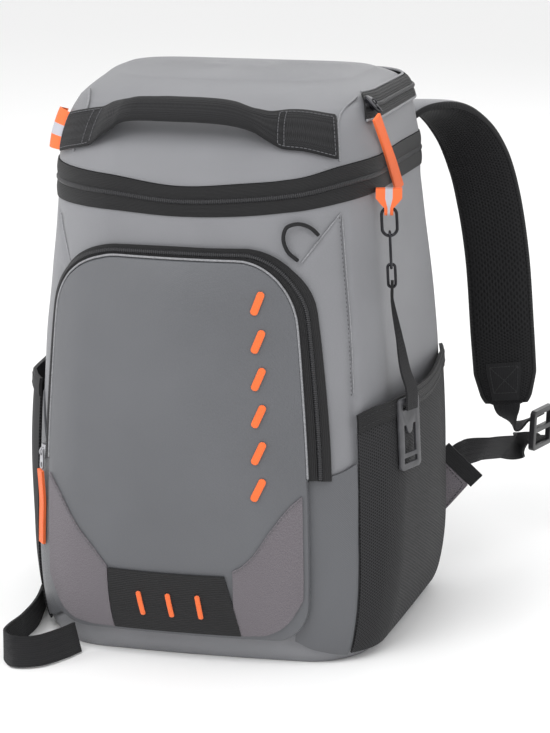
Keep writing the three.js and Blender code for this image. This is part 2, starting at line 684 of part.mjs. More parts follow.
const leftStrapRows = [
  { out: 0.24, back: 0.5385, up: 0.82, east: 1, south: 0, rise: 0, wide: 0.86, thick: 0.6 },
  { out: 0.26, back: 0.58, up: 0.862, east: 1, south: -0.1, rise: 0, wide: 0.9, thick: 0.7 },
  { out: 0.29, back: 0.67, up: 0.88, east: 0.95, south: -0.2, rise: 0.05, wide: 0.95, thick: 0.8 },
  { out: 0.32, back: 0.76, up: 0.85, east: 0.97, south: -0.1, rise: 0.1, wide: 1, thick: 1 },
  { out: 0.34, back: 0.83, up: 0.79, east: 1, south: 0, rise: 0.08, wide: 1, thick: 1 },
  { out: 0.35, back: 0.87, up: 0.7, east: 1, south: 0, rise: 0.04, wide: 1, thick: 1 },
  { out: 0.355, back: 0.88, up: 0.586, east: 1, south: 0, rise: 0, wide: 1, thick: 1 },
  { out: 0.36, back: 0.86, up: 0.434, east: 1, south: 0, rise: 0, wide: 1, thick: 1 },
  { out: 0.36, back: 0.83, up: 0.357, east: 1, south: 0, rise: 0, wide: 0.98, thick: 1 },
  { out: 0.36, back: 0.8, up: 0.295, east: 1, south: 0, rise: 0, wide: 0.7, thick: 0.6 },
];

// A place and three directions that a flat fitting is set in
function fitting(origin, along, up) {
  const east = along.clone().normalize();
  const north = up.clone().addScaledVector(east, -up.dot(east)).normalize();
  const face = new THREE.Vector3().crossVectors(east, north);
  return new THREE.Matrix4().makeBasis(east, north, face).setPosition(origin);
}

function placed(geometry, matrix) {
  return geometry.applyMatrix4(matrix);
}

function roundedRect(width, height, radius, target = new THREE.Shape()) {
  const x = width / 2;
  const y = height / 2;
  target.moveTo(x - radius, -y);
  target.absarc(x - radius, -y + radius, radius, -Math.PI / 2, 0);
  target.absarc(x - radius, y - radius, radius, 0, Math.PI / 2);
  target.absarc(-x + radius, y - radius, radius, Math.PI / 2, Math.PI);
  target.absarc(-x + radius, -y + radius, radius, Math.PI, 1.5 * Math.PI);
  return target;
}

function slot(width, height, y) {
  const hole = new THREE.Path();
  hole.moveTo(-width / 2, y - height / 2);
  hole.lineTo(-width / 2, y + height / 2);
  hole.lineTo(width / 2, y + height / 2);
  hole.lineTo(width / 2, y - height / 2);
  return hole;
}

const plate = (shape, depth, segments = 3) => new THREE.ExtrudeGeometry(shape, {
  depth, bevelEnabled: false, curveSegments: segments,
}).translate(0, 0, -depth / 2);

// Two-bar adjuster at the end of a padded strap
const lockBar = 4.5;
const lockWidth = lowerWebWidth + 12;
const lockSlot = (lockLength - 3 * lockBar) / 2;
const slotReach = 1;
const padClearance = 0.75;
const wingStandOff = 12;

function ladderLock(origin, along, up) {
  const shape = roundedRect(lockWidth, lockLength, 4);
  const offset = (lockSlot + lockBar) / 2;
  shape.holes.push(slot(lowerWebWidth + 3, lockSlot, offset), slot(lowerWebWidth + 3, lockSlot, -offset));
  return placed(plate(shape, lockThickness), fitting(origin, along, up));
}

function strapSide(side, name, rows, web) {
  const pad = strapRoute(rows, side);
  piece(`shoulder_strap_${name}`, strip(pad, strapWidth, strapThickness, 30, true), 'mesh');
  const [before, last] = pad.slice(-2);
  const end = last.at;
  const onward = end.clone().sub(before.at).normalize();
  const toLock = new THREE.Vector3(side * web.lockOut, web.lockBack, web.lockDrop);
  const lockCentre = end.clone().add(toLock);
  const lockAlong = new THREE.Vector3(side * web.turnEast, web.turnNorth, 0).normalize();
  const lockUp = new THREE.Vector3(0, -0.12, 1).normalize();
  piece(`ladder_lock_${name}`, ladderLock(lockCentre, lockAlong, lockUp), 'plastic');
  const slotOffset = (lockSlot + lockBar) / 2;
  const upperSlot = lockCentre.clone().addScaledVector(lockUp, slotOffset);
  const lowerSlot = lockCentre.clone().addScaledVector(lockUp, -slotOffset);
  const padSide = new THREE.Vector3(1, 0, 0);
  const start = end.clone().addScaledVector(onward, seamGap + padClearance);
  const faceOut = new THREE.Vector3().crossVectors(lockAlong, lockUp).multiplyScalar(-side);
  const inSlot = (middle, out, rise) => middle.clone()
    .addScaledVector(faceOut, out).addScaledVector(lockUp, rise);
  piece(`strap_end_${name}`, strip([
    { at: start, side: padSide },
    ...web.drop.map(({ right, back, up, east, south, rise, wide }) => ({
      at: end.clone().add(new THREE.Vector3(right, back, up)),
      side: new THREE.Vector3(east, south, rise),
      wide,
    })),
    { at: inSlot(upperSlot, slotReach, 3.3), side: lockAlong.clone().multiplyScalar(web.turn) },
  ], lowerWebWidth, webThickness, 16), 'webbing');
  const { foldCentre, foldAlong, through } = strapWing(side, name, web);
  const route = [
    { at: inSlot(lowerSlot, slotReach, -3.9), side: lockAlong },
    { at: inSlot(lowerSlot, 7, -5), side: lockAlong },
    ...web.way.map(({ out, back, up, east, south, rise }) => ({
      at: new THREE.Vector3(side * out * backWidth, back * bodyDepth, up * bodyHeight),
      side: new THREE.Vector3(east, south, rise),
    })),
    { at: foldCentre.clone().addScaledVector(through, wingStandOff), side: foldAlong },
    { at: foldCentre.clone().addScaledVector(through, wingThickness / 2 + 0.6), side: foldAlong },
  ];
  piece(`lower_web_${name}`, strip(route, lowerWebWidth, webThickness, 26), 'webbing');
  return lockCentre.clone().addScaledVector(lockUp, -lockLength / 2 - padClearance);
}

// Triangular cloth wing sewn to the back corner, with the folded webbing end on its edge
function strapWing(side, name, web) {
  const rows = [
    { up: web.wingTop - 0.155, reach: 0.06 },
    { up: web.wingTop - 0.06, reach: 1 },
    { up: web.wingTop, reach: 0.32 },
  ];
  const outward = new THREE.Vector3(side * 0.98, 0.2, 0);
  const through = new THREE.Vector3(side * -0.2, 0.98, 0);
  const ring = ({ up, reach }) => {
    const root = onWall(side * 3.72, up * bodyHeight, 2 * seamGap, true);
    const tip = root.clone().addScaledVector(outward, wingReach * reach);
    return [root, tip].flatMap((p, i) => (i === 0
      ? [p.clone().addScaledVector(through, wingThickness), p.clone()]
      : [p.clone(), p.clone().addScaledVector(through, wingThickness)]));
  };
  piece(`strap_wing_${name}`, loft(rows.map(ring), { across: true }), 'speckled');
  const up = new THREE.Vector3(0, 0, 1);
  const upperEdge = rows.slice(1).map(({ up: height, reach }) => (
    onWall(side * 3.72, height * bodyHeight, 2 * seamGap, true)
      .addScaledVector(outward, wingReach * reach).addScaledVector(through, wingThickness / 2)));
  const foldAlong = upperEdge[1].clone().sub(upperEdge[0]).normalize();
  const clear = up.clone().addScaledVector(foldAlong, -up.dot(foldAlong)).normalize();
  const lift = foldWidth / 2 + seamGap;
  const [low, high] = upperEdge.map((point) => point.clone().addScaledVector(clear, lift));
  piece(`web_fold_${name}`, strip([
    { at: low.clone().lerp(high, -0.08), side: clear },
    { at: low.clone().lerp(high, 0.5), side: clear },
    { at: high, side: clear },
  ], foldWidth, wingThickness, 4), 'webbing');
  return { foldCentre: low.clone().lerp(high, 0.5), foldAlong, through };
}

// Webbing tail: hangs from the left adjuster, then stands on its edge along the floor on the
// left and loops at the front corner; clear is its distance in mm from the line of the side
// wall, lean tips its width, twist turns it across
const tailRows = [
  { clear: -44, fore: 0.862, up: 0.14, lean: 0, twist: 1 },
  { clear: -31, fore: 0.8, up: 0.078, lean: 0, twist: 0.6 },
  { clear: -12, fore: 0.68, up: 0.038, lean: 0, twist: 0.2 },
  { clear: 4.5, fore: 0.53, up: 0.0285, lean: 0, twist: 0 },
  { clear: 12.9, fore: 0.36, up: 0.0285, lean: 0, twist: 0 },
  { clear: 13.2, fore: 0.1, up: 0.0285, lean: 0, twist: 0 },
  { clear: 13.7, fore: -0.15, up: 0.0285, lean: 0, twist: 0 },
  { clear: 11.2, fore: -0.36, up: 0.0285, lean: 0, twist: 0 },
  { clear: 15.7, fore: -0.5, up: 0.0285, lean: -0.2, twist: 0 },
  { clear: 21.6, fore: -0.6, up: 0.0285, lean: -0.3, twist: 0 },
  { clear: 20.1, fore: -0.68, up: 0.0285, lean: 0, twist: 0 },
  { clear: 9.9, fore: -0.72, up: 0.0285, lean: 0.35, twist: 0 },
  { clear: -6.6, fore: -0.7, up: 0.0285, lean: 0.4, twist: 0 },
  { clear: -23, fore: -0.62, up: 0.0285, lean: 0.4, twist: 0 },
  { clear: -32.7, fore: -0.55, up: 0.0285, lean: 0.35, twist: 0 },
];

function sideLine(y, z) {
  const { halfFront, front, normal } = planAt(z);
  return halfFront - (y - front) * normal.y / normal.x;
}

function webTail(adjusterFoot) {
  const across = new THREE.Vector3(-1, 0, 0);
  const floorHeight = 0.0285 * bodyHeight;
  const route = tailRows.map(({ clear, fore, up, lean, twist }) => {
    const y = fore * bodyDepth;
    return {
      at: new THREE.Vector3(-sideLine(y, floorHeight) - clear, y, up * bodyHeight),
      side: new THREE.Vector3(-lean * 0.5, lean, 1).lerp(across, twist).normalize(),
    };
  });
  const hanging = adjusterFoot.clone().add(new THREE.Vector3(0, 1, -10));
  piece('web_tail', strip([
    { at: adjusterFoot, side: across },
    { at: hanging, side: across },
    ...route,
  ], lowerWebWidth, webThickness, 46), 'webbing');
}

// A closed oval of wire in the plane of two directions
function wireOval(length, width, wire, matrix) {
  const radius = (width - wire) / 2;
  const straight = (length - wire) / 2 - radius;
  const path = [];
  const turns = 5;
  for (const end of [1, -1]) {
    for (let i = 0; i <= turns; i += 1) {
      const angle = (end > 0 ? 0 : Math.PI) + Math.PI * i / turns;
      path.push(new THREE.Vector2(radius * Math.cos(angle), end * straight + radius * Math.sin(angle)));
    }
  }
  const sides = 6;
  const points = [];
  const faces = [];
  path.forEach((point, i) => {
    const before = path[(i + path.length - 1) % path.length];
    const after = path[(i + 1) % path.length];
    const tangent = after.clone().sub(before).normalize();
    const out = new THREE.Vector2(tangent.y, -tangent.x);
    for (let k = 0; k < sides; k += 1) {
      const angle = 2 * Math.PI * k / sides;
      const r = wire / 2;
      points.push(new THREE.Vector3(
        point.x + out.x * r * Math.cos(angle), point.y + out.y * r * Math.cos(angle), r * Math.sin(angle)));
      const nextRing = ((i + 1) % path.length) * sides;
      const a = i * sides + k;
      const b = i * sides + (k + 1) % sides;
      faces.push([a, b, nextRing + (k + 1) % sides], [a, nextRing + (k + 1) % sides, nextRing + k]);
    }
  });
  return placed(solidFrom(points, faces), matrix);
}

// Orange and silver tape loop: a hanging fold on the right that the ring goes through
const hang = { station: 1.79, lean: 0.6 };
const hangSpan = 60;

function hangFrame(z, out) {
  const normal = wallNormal(hang.station, z, true);
  const along = wallAlong(hang.station, z);
  const facing = normal.clone().addScaledVector(along, hang.lean).normalize();
  const across = new THREE.Vector3(-facing.y, facing.x, 0);
  const origin = wallPoint(hang.station, z).addScaledVector(facing, out);
  return { origin, facing, across };
}

function tether() {
  const up = new THREE.Vector3(0, 0, 1);
  const tabTop = bandFoot(hang.station) + 4;
  const tabLength = 17;
  const tabCentre = 3 + tabWidth / 2;
  const foldRadius = ringWire / 2 + seamGap + webThickness / 2;
  const foldDrop = foldRadius + 3;
  const foldWide = 0.34;
  const barHeight = tabTop - tabLength + foldRadius;
  const { origin, facing, across } = hangFrame(barHeight, tabCentre);
  const leg = (share, sign) => origin.clone()
    .addScaledVector(up, share).addScaledVector(across, sign * foldRadius);
  const turn = [];
  for (let i = 0; i <= 6; i += 1) {
    const angle = Math.PI + Math.PI * i / 6;
    turn.push({
      at: origin.clone().addScaledVector(across, foldRadius * Math.cos(angle))
        .addScaledVector(up, foldDrop * Math.sin(angle)),
      side: facing,
      wide: foldWide,
    });
  }
  piece('loop_tab_right', strip([
    { at: leg(tabLength - foldRadius, -1), side: facing },
    { at: leg((tabLength - foldRadius) / 2, -1), side: facing },
    ...turn,
    { at: leg((tabLength - foldRadius) / 2, 1), side: facing },
    { at: leg(tabLength - foldRadius, 1), side: facing },
  ], tabWidth, webThickness, 24), 'orange');
  const play = 3 * seamGap;
  const lower = hangFrame(barHeight - hangSpan, tabCentre).origin;
  const rise = origin.clone().sub(lower).normalize();
  const outward = facing.clone().addScaledVector(rise, -facing.dot(rise)).normalize();
  const sideways = new THREE.Vector3().crossVectors(rise, outward);
  const below = (distance) => origin.clone().addScaledVector(rise, -distance);
  const ringCentre = (ringLength - ringWire) / 2;
  const linkCentre = 2 * ringCentre + (linkLength - linkWire) / 2 - ringWire / 2 - linkWire / 2 - play;
  const swivelCentre = linkCentre + (linkLength + swivelLength) / 2 - 2 * linkWire - play;
  const wire = (name, length, width, thickness, centre, along) => {
    piece(name, wireOval(length, width, thickness, fitting(below(centre), along, rise)), 'metal');
  };
  wire('chain_ring', ringLength, ringWidth, ringWire, ringCentre, outward);
  wire('chain_link', linkLength, linkWidth, linkWire, linkCentre, sideways);
  wire('swivel', swivelLength, swivelWidth, linkWire, swivelCentre, outward);
  bottleOpener(below(swivelCentre + (swivelLength - linkWire) / 2), outward, sideways);
}

// Flat opener on the pocket's hem, hung on a strip of webbing from the swivel's eye
const openerPlace = { station: 1.97, facing: 1.78, top: 0.467 };
const openerSlot = 4.5;
const openerMargin = 5;
const openerRim = 6;

function bottleOpener(eye, facing, across) {
  const z = openerPlace.top * bodyHeight - openerLength / 2;
  const station = openerPlace.station;
  const lift = sidePocketBulge + meshThickness + 1 + 2 * seamGap + openerThickness / 2 + 1.2;
  const along = wallAlong(openerPlace.facing, z);
  const half = openerLength / 2;
  const rise = wallPoint(station, z + half).sub(wallPoint(station, z - half)).normalize();
  const origin = onWall(station, z, lift);
  const shape = roundedRect(openerWidth, openerLength, 4);
  const slotY = half - openerMargin - openerSlot / 2;
  const slotWidth = openerWidth - 2 * openerMargin;
  shape.holes.push(slot(slotWidth, openerSlot, slotY), slot(slotWidth, openerSlot, -slotY));
  const mouth = new THREE.Path();
  const jaw = openerWidth / 2 - openerRim;
  const sill = -openerLength * 0.27;
  const brow = openerLength * 0.12;
  mouth.moveTo(-jaw, sill);
  mouth.lineTo(-jaw, brow);
  mouth.lineTo(-jaw * 0.62, brow);
  mouth.absarc(0, brow - jaw * 0.45, jaw * 0.45, Math.PI, 2 * Math.PI);
  mouth.lineTo(jaw * 0.62, brow);
  mouth.lineTo(jaw, brow);
  mouth.lineTo(jaw, sill);
  shape.holes.push(mouth);
  const frame = fitting(origin, along, rise);
  piece('bottle_opener', placed(plate(shape, openerThickness, 4), frame), 'opener');
  const face = new THREE.Vector3().crossVectors(along, rise).normalize();
  const slotCentre = origin.clone().addScaledVector(rise, slotY);
  const clear = webThickness / 2 + openerThickness / 2 + seamGap;
  const turnRadius = linkWire / 2 + seamGap + webThickness / 2;
  const over = [];
  for (let i = 0; i <= 4; i += 1) {
    const angle = Math.PI * i / 4;
    over.push({
      at: eye.clone().addScaledVector(across, turnRadius * Math.cos(angle))
        .add(new THREE.Vector3(0, 0, (turnRadius + 2.3) * Math.sin(angle))),
      side: facing,
      wide: 0.16,
    });
  }
  const legEnd = eye.clone().addScaledVector(across, turnRadius).add(new THREE.Vector3(0, 0, -12));
  const front = eye.clone().addScaledVector(across, -turnRadius).add(new THREE.Vector3(0, 0, -8));
  const aboveSlot = slotCentre.clone().addScaledVector(rise, openerSlot / 2 + openerMargin + 6);
  piece('tether_web', strip([
    { at: legEnd, side: facing, wide: 0.16 },
    ...over,
    { at: front, side: facing, wide: 0.16 },
    { at: front.clone().lerp(aboveSlot, 0.45), side: facing.clone().lerp(along, 0.6), wide: 0.4 },
    { at: front.clone().lerp(aboveSlot, 0.8), side: along, wide: 0.85 },
    { at: aboveSlot.clone().addScaledVector(face, clear), side: along, wide: 1 },
    {
      at: slotCentre.clone().addScaledVector(rise, -openerSlot / 2).addScaledVector(face, clear),
      side: along,
    },
  ], tetherWidth, webThickness, 34), 'webbing');
}

// Left tape loop: a low bridge of tape on the lid's side
function leftTab() {
  const stations = [-1.68, -1.73, -1.78, -1.84, -1.89, -1.93];
  const arch = [0, 0.55, 0.95, 1, 0.6, 0];
  const low = 0.882 * bodyHeight;
  piece('loop_tab_left', loft(stations.map((u, i) => {
    const base = layGap + 6 * arch[i];
    const heights = [low, low + 13, low + 26];
    const edge = (extra) => heights.map((z) => onWall(u, z, base + extra));
    return [...edge(webThickness), ...edge(0).reverse()];
  }), { across: true }), 'orange');
}

// Slider block, metal pull and cloth tag, hanging down from a point on the wall
function slider(prefix, at, tagWay) {
  const along = wallAlong(at.station, at.z);
  const origin = onWall(at.station, at.z, at.lift + 2.9);
  const rise = wallPoint(at.station, at.z + 4).sub(wallPoint(at.station, at.z - 4)).normalize();
  const block = new THREE.BoxGeometry(8, 11, 4);
  piece(`${prefix}_slider`, placed(block, fitting(origin, along, rise)), 'metal');
  const face = wallNormal(at.station, at.z);
  const pullTop = origin.clone().addScaledVector(face, 2 + seamGap + 0.8);
  const pullShape = roundedRect(6, 18, 2.5);
  pullShape.holes.push(slot(3, 3.6, -5.2));
  const pullOrigin = pullTop.clone().addScaledVector(rise, -6);
  const pull = placed(plate(pullShape, 1.4, 2), fitting(pullOrigin, along, rise));
  piece(`${prefix}_slider_pull`, pull, 'metal');
  const tagTop = pullOrigin.clone().addScaledVector(rise, -9 - seamGap - at.hangGap);
  const route = [{ at: tagTop, side: along }];
  for (const row of tagWay) {
    const point = onWall(row.at, row.up * bodyHeight, row.lift);
    route.push({ at: point, side: wallAlong(row.at, row.up * bodyHeight) });
  }
  piece(`${prefix}_pull_tag`, strip(route, pullWidth, pullThickness, 10), 'orange');
}

piece('body_shell', bodyShell(), 'nylon');
piece('lid_shell', lidShell(), 'nylon');
zipBand();
lidZipper();
carryHandle();
frontPocket();
pocketZipper();
pocketPanels();
orangeBars();
cordLoop();
sidePocket(1, 'right');
sidePocket(-1, 'left');
backPanel();
tether();
leftTab();
slider('lid', {
  station: lidZip.from + 0.06,
  z: lidZip.low + lidZipHeight / 2,
  lift: tapeThickness + 1.3 * layGap,
  hangGap: 2.6,
}, [
  { at: 2.05, up: 0.88, lift: 5 },
  { at: 2.2, up: 0.84, lift: 5 },
  { at: 2.3, up: 0.812, lift: 5 },
]);
slider('pocket', { station: -1.575, z: 0.35 * bodyHeight, lift: 0, hangGap: 0.2 }, [
  { at: -1.585, up: 0.26, lift: 4 },
  { at: -1.59, up: 0.22, lift: 4 },
  { at: -1.595, up: 0.178, lift: 4 },
]);
// drop: places in mm from the pad's end down to the adjuster, with the webbing's width
// direction and its share of the width; way: on from the adjuster to the wing
strapSide(1, 'right', rightStrapRows, {
  lockOut: 30, lockBack: 6, lockDrop: -20, turnEast: 0.35, turnNorth: 0.94, wingTop: 0.235,
  turn: -1,
  drop: [
    { right: 1.6, back: 0, up: -9.5, east: 0.77, south: -0.63, rise: -0.05, wide: 1 },
    { right: 7.3, back: 2, up: -19, east: 0.17, south: -0.97, rise: -0.15, wide: 0.85 },
    { right: 20.4, back: 6.3, up: -13.4, east: -0.54, south: -0.83, rise: -0.15, wide: 0.82 },
  ],
  way: [
    { out: 0.6459, back: 0.8814, up: 0.204, east: -0.16, south: 0.53, rise: 0.83 },
    { out: 0.6219, back: 0.7938, up: 0.213, east: 0.5, south: -0.05, rise: 0.85 },
    { out: 0.5747, back: 0.6698, up: 0.226, east: 0.36, south: -0.26, rise: 0.9 },
    { out: 0.5209, back: 0.6091, up: 0.2242, east: 0.21, south: 0.16, rise: 0.96 },
  ],
});
const adjusterFoot = strapSide(-1, 'left', leftStrapRows, {
  lockOut: 1, lockBack: 14, lockDrop: -26, turnEast: -1, turnNorth: 0, wingTop: 0.235,
  turn: 1,
  drop: [
    { right: 0.4, back: 0, up: -7.3, east: 1, south: 0.09, rise: -0.03, wide: 1 },
    { right: 0.4, back: 2.4, up: -15.1, east: 0.99, south: 0.15, rise: 0.04, wide: 1 },
  ],
  way: [
    { out: 0.3641, back: 0.7909, up: 0.1995, east: 0.73, south: -0.47, rise: 0.5 },
    { out: 0.4013, back: 0.7079, up: 0.2061, east: 0.37, south: -0.11, rise: 0.92 },
    { out: 0.4647, back: 0.6426, up: 0.2124, east: 0.3, south: 0.24, rise: 0.92 },
  ],
});
webTail(adjusterFoot);

export default backpack;
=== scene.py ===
# %% [markdown]
# A cooler backpack, dressed in Blender around its CAD frame.
# The frame gives every piece its place and size in metres, and this lesson gives each piece
# its cloth, padding, stitching and colour. The bag stands upright, front towards -Y.

# %% Load the frame
import contextlib
import math

import bpy
from mathutils import Matrix, Vector, noise


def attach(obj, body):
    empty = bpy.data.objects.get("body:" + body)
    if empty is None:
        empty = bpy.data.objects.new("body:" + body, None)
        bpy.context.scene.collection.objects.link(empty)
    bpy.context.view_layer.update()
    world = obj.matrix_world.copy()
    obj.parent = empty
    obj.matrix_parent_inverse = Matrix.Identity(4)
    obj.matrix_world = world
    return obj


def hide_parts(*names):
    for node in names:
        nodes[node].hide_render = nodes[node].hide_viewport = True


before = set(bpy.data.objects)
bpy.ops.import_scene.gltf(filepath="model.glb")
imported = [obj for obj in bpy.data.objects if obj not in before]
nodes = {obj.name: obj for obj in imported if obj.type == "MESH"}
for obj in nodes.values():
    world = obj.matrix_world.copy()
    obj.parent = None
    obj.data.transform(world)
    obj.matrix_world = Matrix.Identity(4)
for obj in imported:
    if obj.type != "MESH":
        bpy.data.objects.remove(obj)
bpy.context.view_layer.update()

# %% [markdown]
# The camera goes first, so that each later step can be looked at through it. A long lens from
# about two metres keeps the upright edges nearly parallel, as in a catalogue picture. The
# sensor is fitted to the upright side of the picture, which is the longer one.

# %% Camera
view_turn = math.radians(12.4)
view_rise = math.radians(14.5)
view_distance = 2.054
view_centre = Vector((0.033, 0, 0.206))
towards_camera = Vector((
    math.sin(view_turn) * math.cos(view_rise),
    -math.cos(view_turn) * math.cos(view_rise),
    math.sin(view_rise),
))
bpy.ops.object.camera_add(location=view_centre + towards_camera * view_distance)
camera = bpy.context.object
camera.rotation_euler = (-towards_camera).to_track_quat("-Z", "Y").to_euler()
camera.data.sensor_fit = "VERTICAL"
camera.data.sensor_height = 36
camera.data.lens = 125
bpy.context.scene.camera = camera
bpy.context.scene.view_settings.view_transform = "Standard"
print("camera", [round(c, 3) for c in camera.location])

# %% [markdown]
# A studio table: one wide pale plane, a big soft light above and in front, a weaker one from
# the right, and a bright world that fills the shadows. Large lights keep the shadow under the
# bag soft, which is what shows how softly the base is rounded.

# %% Floor and lights
bpy.ops.mesh.primitive_plane_add(size=40, location=(0, 12, 0))
floor = bpy.context.object
floor.name = "studio_floor"
bpy.ops.object.transform_apply(location=True, rotation=True, scale=True)
floor_paint = bpy.data.materials.new("studio_floor")
floor_paint.use_nodes = True
floor_sockets = floor_paint.node_tree.nodes["Principled BSDF"].inputs
floor_sockets["Base Color"].default_value = (0.95, 0.95, 0.95, 1)
floor_sockets["Roughness"].default_value = 0.6
floor.data.materials.append(floor_paint)


def soft_light(name, place, target, size, power):
    bpy.ops.object.light_add(type="AREA", location=place)
    light = bpy.context.object
    light.name = name
    light.data.shape = "SQUARE"
    light.data.size = size
    light.data.energy = power
    light.rotation_euler = (Vector(target) - Vector(place)).to_track_quat("-Z", "Y").to_euler()


soft_light("top_front_light", (-0.5, -1.6, 2.3), (0, 0, 0.2), 1.6, 36)
soft_light("right_light", (2.0, -0.7, 1.0), (0, 0, 0.25), 0.9, 4)
soft_light("left_light", (-2.0, -1.1, 0.9), (0, 0, 0.2), 0.9, 9)
soft_light("back_light", (0.4, 2.0, 1.8), (0, 0, 0.25), 1.6, 12)
world = bpy.data.worlds.new("studio")
bpy.context.scene.world = world
world.use_nodes = True
backdrop = world.node_tree.nodes["Background"].inputs
backdrop["Color"].default_value = (1, 1, 1, 1)
backdrop["Strength"].default_value = 0.9

# %% [markdown]
# The box of the bag is a rounded trapezoid that leans in towards the top, with a bowed front
# and a domed lid. One table of its sections gives any point of that surface from a station
# round the bag and a height. Stations: 0 front centre, 1 to 2 front corner, 2 to 3 side,
# 3 to 4 back corner, 5 back centre, and the same with a minus sign on the left.

# %% The body's surface
body_height = 0.442
back_width = 0.320
front_width = 0.274
body_depth = 0.242
front_radius = 0.054
back_radius = 0.038
front_crown = 0.020
padded_wall = 0.006
seam_gap = 0.0003
lay_gap = 0.0009
station_size = 0.083

# height, front width, back width, fore depth, aft depth, corner radius, crown
sections = [
    (0.0, 0.89, 0.915, 0.468, 0.455, 0.85, 0.25),
    (0.018, 0.94, 0.955, 0.484, 0.475, 0.93, 0.3),
    (0.057, 0.98, 0.99, 0.492, 0.496, 1.0, 0.4),
    (0.27, 1.0, 1.0, 0.496, 0.504, 1.0, 0.45),
    (0.565, 0.956, 0.956, 0.479, 0.496, 1.04, 0.55),
    (0.792, 0.905, 0.881, 0.446, 0.479, 1.1, 0.9),
    (0.871, 0.898, 0.869, 0.438, 0.471, 1.12, 1.0),
    (0.916, 0.883, 0.85, 0.413, 0.471, 1.12, 1.0),
    (0.955, 0.847, 0.819, 0.347, 0.463, 1.08, 0.9),
    (0.982, 0.788, 0.769, 0.24, 0.442, 0.93, 0.6),
    (1.0, 0.66, 0.65, 0.11, 0.37, 0.74, 0.4),
]


def mix(a, b, share):
    return a + (b - a) * share


def clamp(value, low=0.0, high=1.0):
    return max(low, min(high, value))


def ease(value):
    value = clamp(value)
    return value * value * (3 - 2 * value)


def swing(value, power):
    """A sine or cosine to a power with its sign kept, which squares the circle it draws."""
    return math.copysign(abs(value) ** power, value)


def row_at(table, value):
    """The row of a table at a value of its first column, blended in straight lines."""
    for before, after in zip(table, table[1:]):
        if value <= after[0]:
            share = clamp((value - before[0]) / (after[0] - before[0]))
            return [mix(a, b, share) for a, b in zip(before, after)]
    return list(table[-1])


def smooth_row(table, value):
    """The same row blended along smooth curves, for padding that has no creases."""
    count = len(table)
    spot = 0
    while spot < count - 2 and value > table[spot + 1][0]:
        spot += 1
    a, b = table[spot], table[spot + 1]
    span = b[0] - a[0]
    share = clamp((value - a[0]) / span)
    before = table[spot - 1] if spot > 0 else None
    after = table[spot + 2] if spot + 2 < count else None
    row = [mix(a[0], b[0], share)]
    for k in range(1, len(a)):
        slope = (b[k] - a[k]) / span
        start = slope if before is None else 0.5 * (slope + (a[k] - before[k]) / (a[0] - before[0]))
        end = slope if after is None else 0.5 * (slope + (after[k] - b[k]) / (after[0] - b[0]))
        if slope == 0:
            start = end = 0
        s2, s3 = share * share, share ** 3
        row.append(
            (2 * s3 - 3 * s2 + 1) * a[k] + (s3 - 2 * s2 + share) * span * start
            + (3 * s2 - 2 * s3) * b[k] + (s3 - s2) * span * end
        )
    return row


def plan_at(z):
    _, front, back, fore, aft, corner, crown = smooth_row(sections, clamp(z / body_height))
    half_front = front * front_width / 2
    half_back = back * back_width / 2
    y_front = -fore * body_depth
    y_back = aft * body_depth
    r_front = corner * front_radius
    r_back = corner * back_radius
    lean = math.atan2(y_back - y_front, half_back - half_front)
    nx, ny = math.sin(lean), -math.cos(lean)
    cy_front = y_front + r_front
    cy_back = y_back - r_back
    cx_front = half_front - (r_front + (cy_front - y_front) * ny) / nx
    cx_back = half_front - (r_back + (cy_back - y_front) * ny) / nx
    return (half_front, y_front, y_back, r_front, r_back, nx, ny,
            cx_front, cy_front, cx_back, cy_back, crown * front_crown)


plan_cache = {}


def wall_point(station, z):
    if station > 5:
        station -= 10
    if station < -5:
        station += 10
    side = -1 if station < 0 else 1
    u = abs(station)
    key = round(z, 6)
    if key not in plan_cache:
        plan_cache[key] = plan_at(z)
    (half_front, y_front, y_back, r_front, r_back, nx, ny,
     cx_front, cy_front, cx_back, cy_back, crown) = plan_cache[key]
    lean = math.atan2(ny, nx)
    if u <= 1:
        x, y = cx_front * u, y_front
    elif u <= 2:
        angle = mix(-math.pi / 2, lean, u - 1)
        x, y = cx_front + r_front * math.cos(angle), cy_front + r_front * math.sin(angle)
    elif u <= 3:
        x = mix(cx_front + r_front * nx, cx_back + r_back * nx, u - 2)
        y = mix(cy_front + r_front * ny, cy_back + r_back * ny, u - 2)
    elif u <= 4:
        angle = mix(lean, math.pi / 2, u - 3)
        x, y = cx_back + r_back * math.cos(angle), cy_back + r_back * math.sin(angle)
    else:
        x, y = cx_back * (5 - u), y_back
    across = math.cos(min(1, x / half_front) * math.pi / 2)
    forward = clamp(-y / ((y_back - y_front) / 2))
    return Vector((side * x, y - crown * across * forward, z))


def wall_normal(station, z, level=False):
    along = wall_point(station + 0.02, z) - wall_point(station - 0.02, z)
    step = 0.002 * body_height
    up = wall_point(station, min(body_height, z + step)) - wall_point(station, max(0, z - step))
    normal = along.cross(up)
    if level:
        normal.z = 0
    return normal.normalized()


def on_wall(station, z, lift=0.0, level=False):
    return wall_point(station, z) + wall_normal(station, z, level) * lift


def wall_along(station, z):
    return (wall_point(station + 0.02, z) - wall_point(station - 0.02, z)).normalized()


print("front centre", [round(c, 4) for c in wall_point(0, 0.2)])
print("side", [round(c, 4) for c in wall_point(2.5, 0.2)])

# %% [markdown]
# The zip band between lid and body isn't level: it dips at the front. Its lower and upper
# edges are a small table of heights, as shares of the whole height, round the bag.

# %% The zip band's edges
band_rows = [
    (-5, 0.821, 0.88), (-3.5, 0.821, 0.88), (-3, 0.808, 0.871), (-1.84, 0.799, 0.864),
    (-1.1, 0.8, 0.861), (-0.22, 0.795, 0.847), (0.5, 0.799, 0.854), (1.1, 0.809, 0.864),
    (1.44, 0.818, 0.879), (1.84, 0.825, 0.885), (2.46, 0.8235, 0.885), (3, 0.821, 0.882),
    (3.5, 0.821, 0.88), (5, 0.821, 0.88),
]


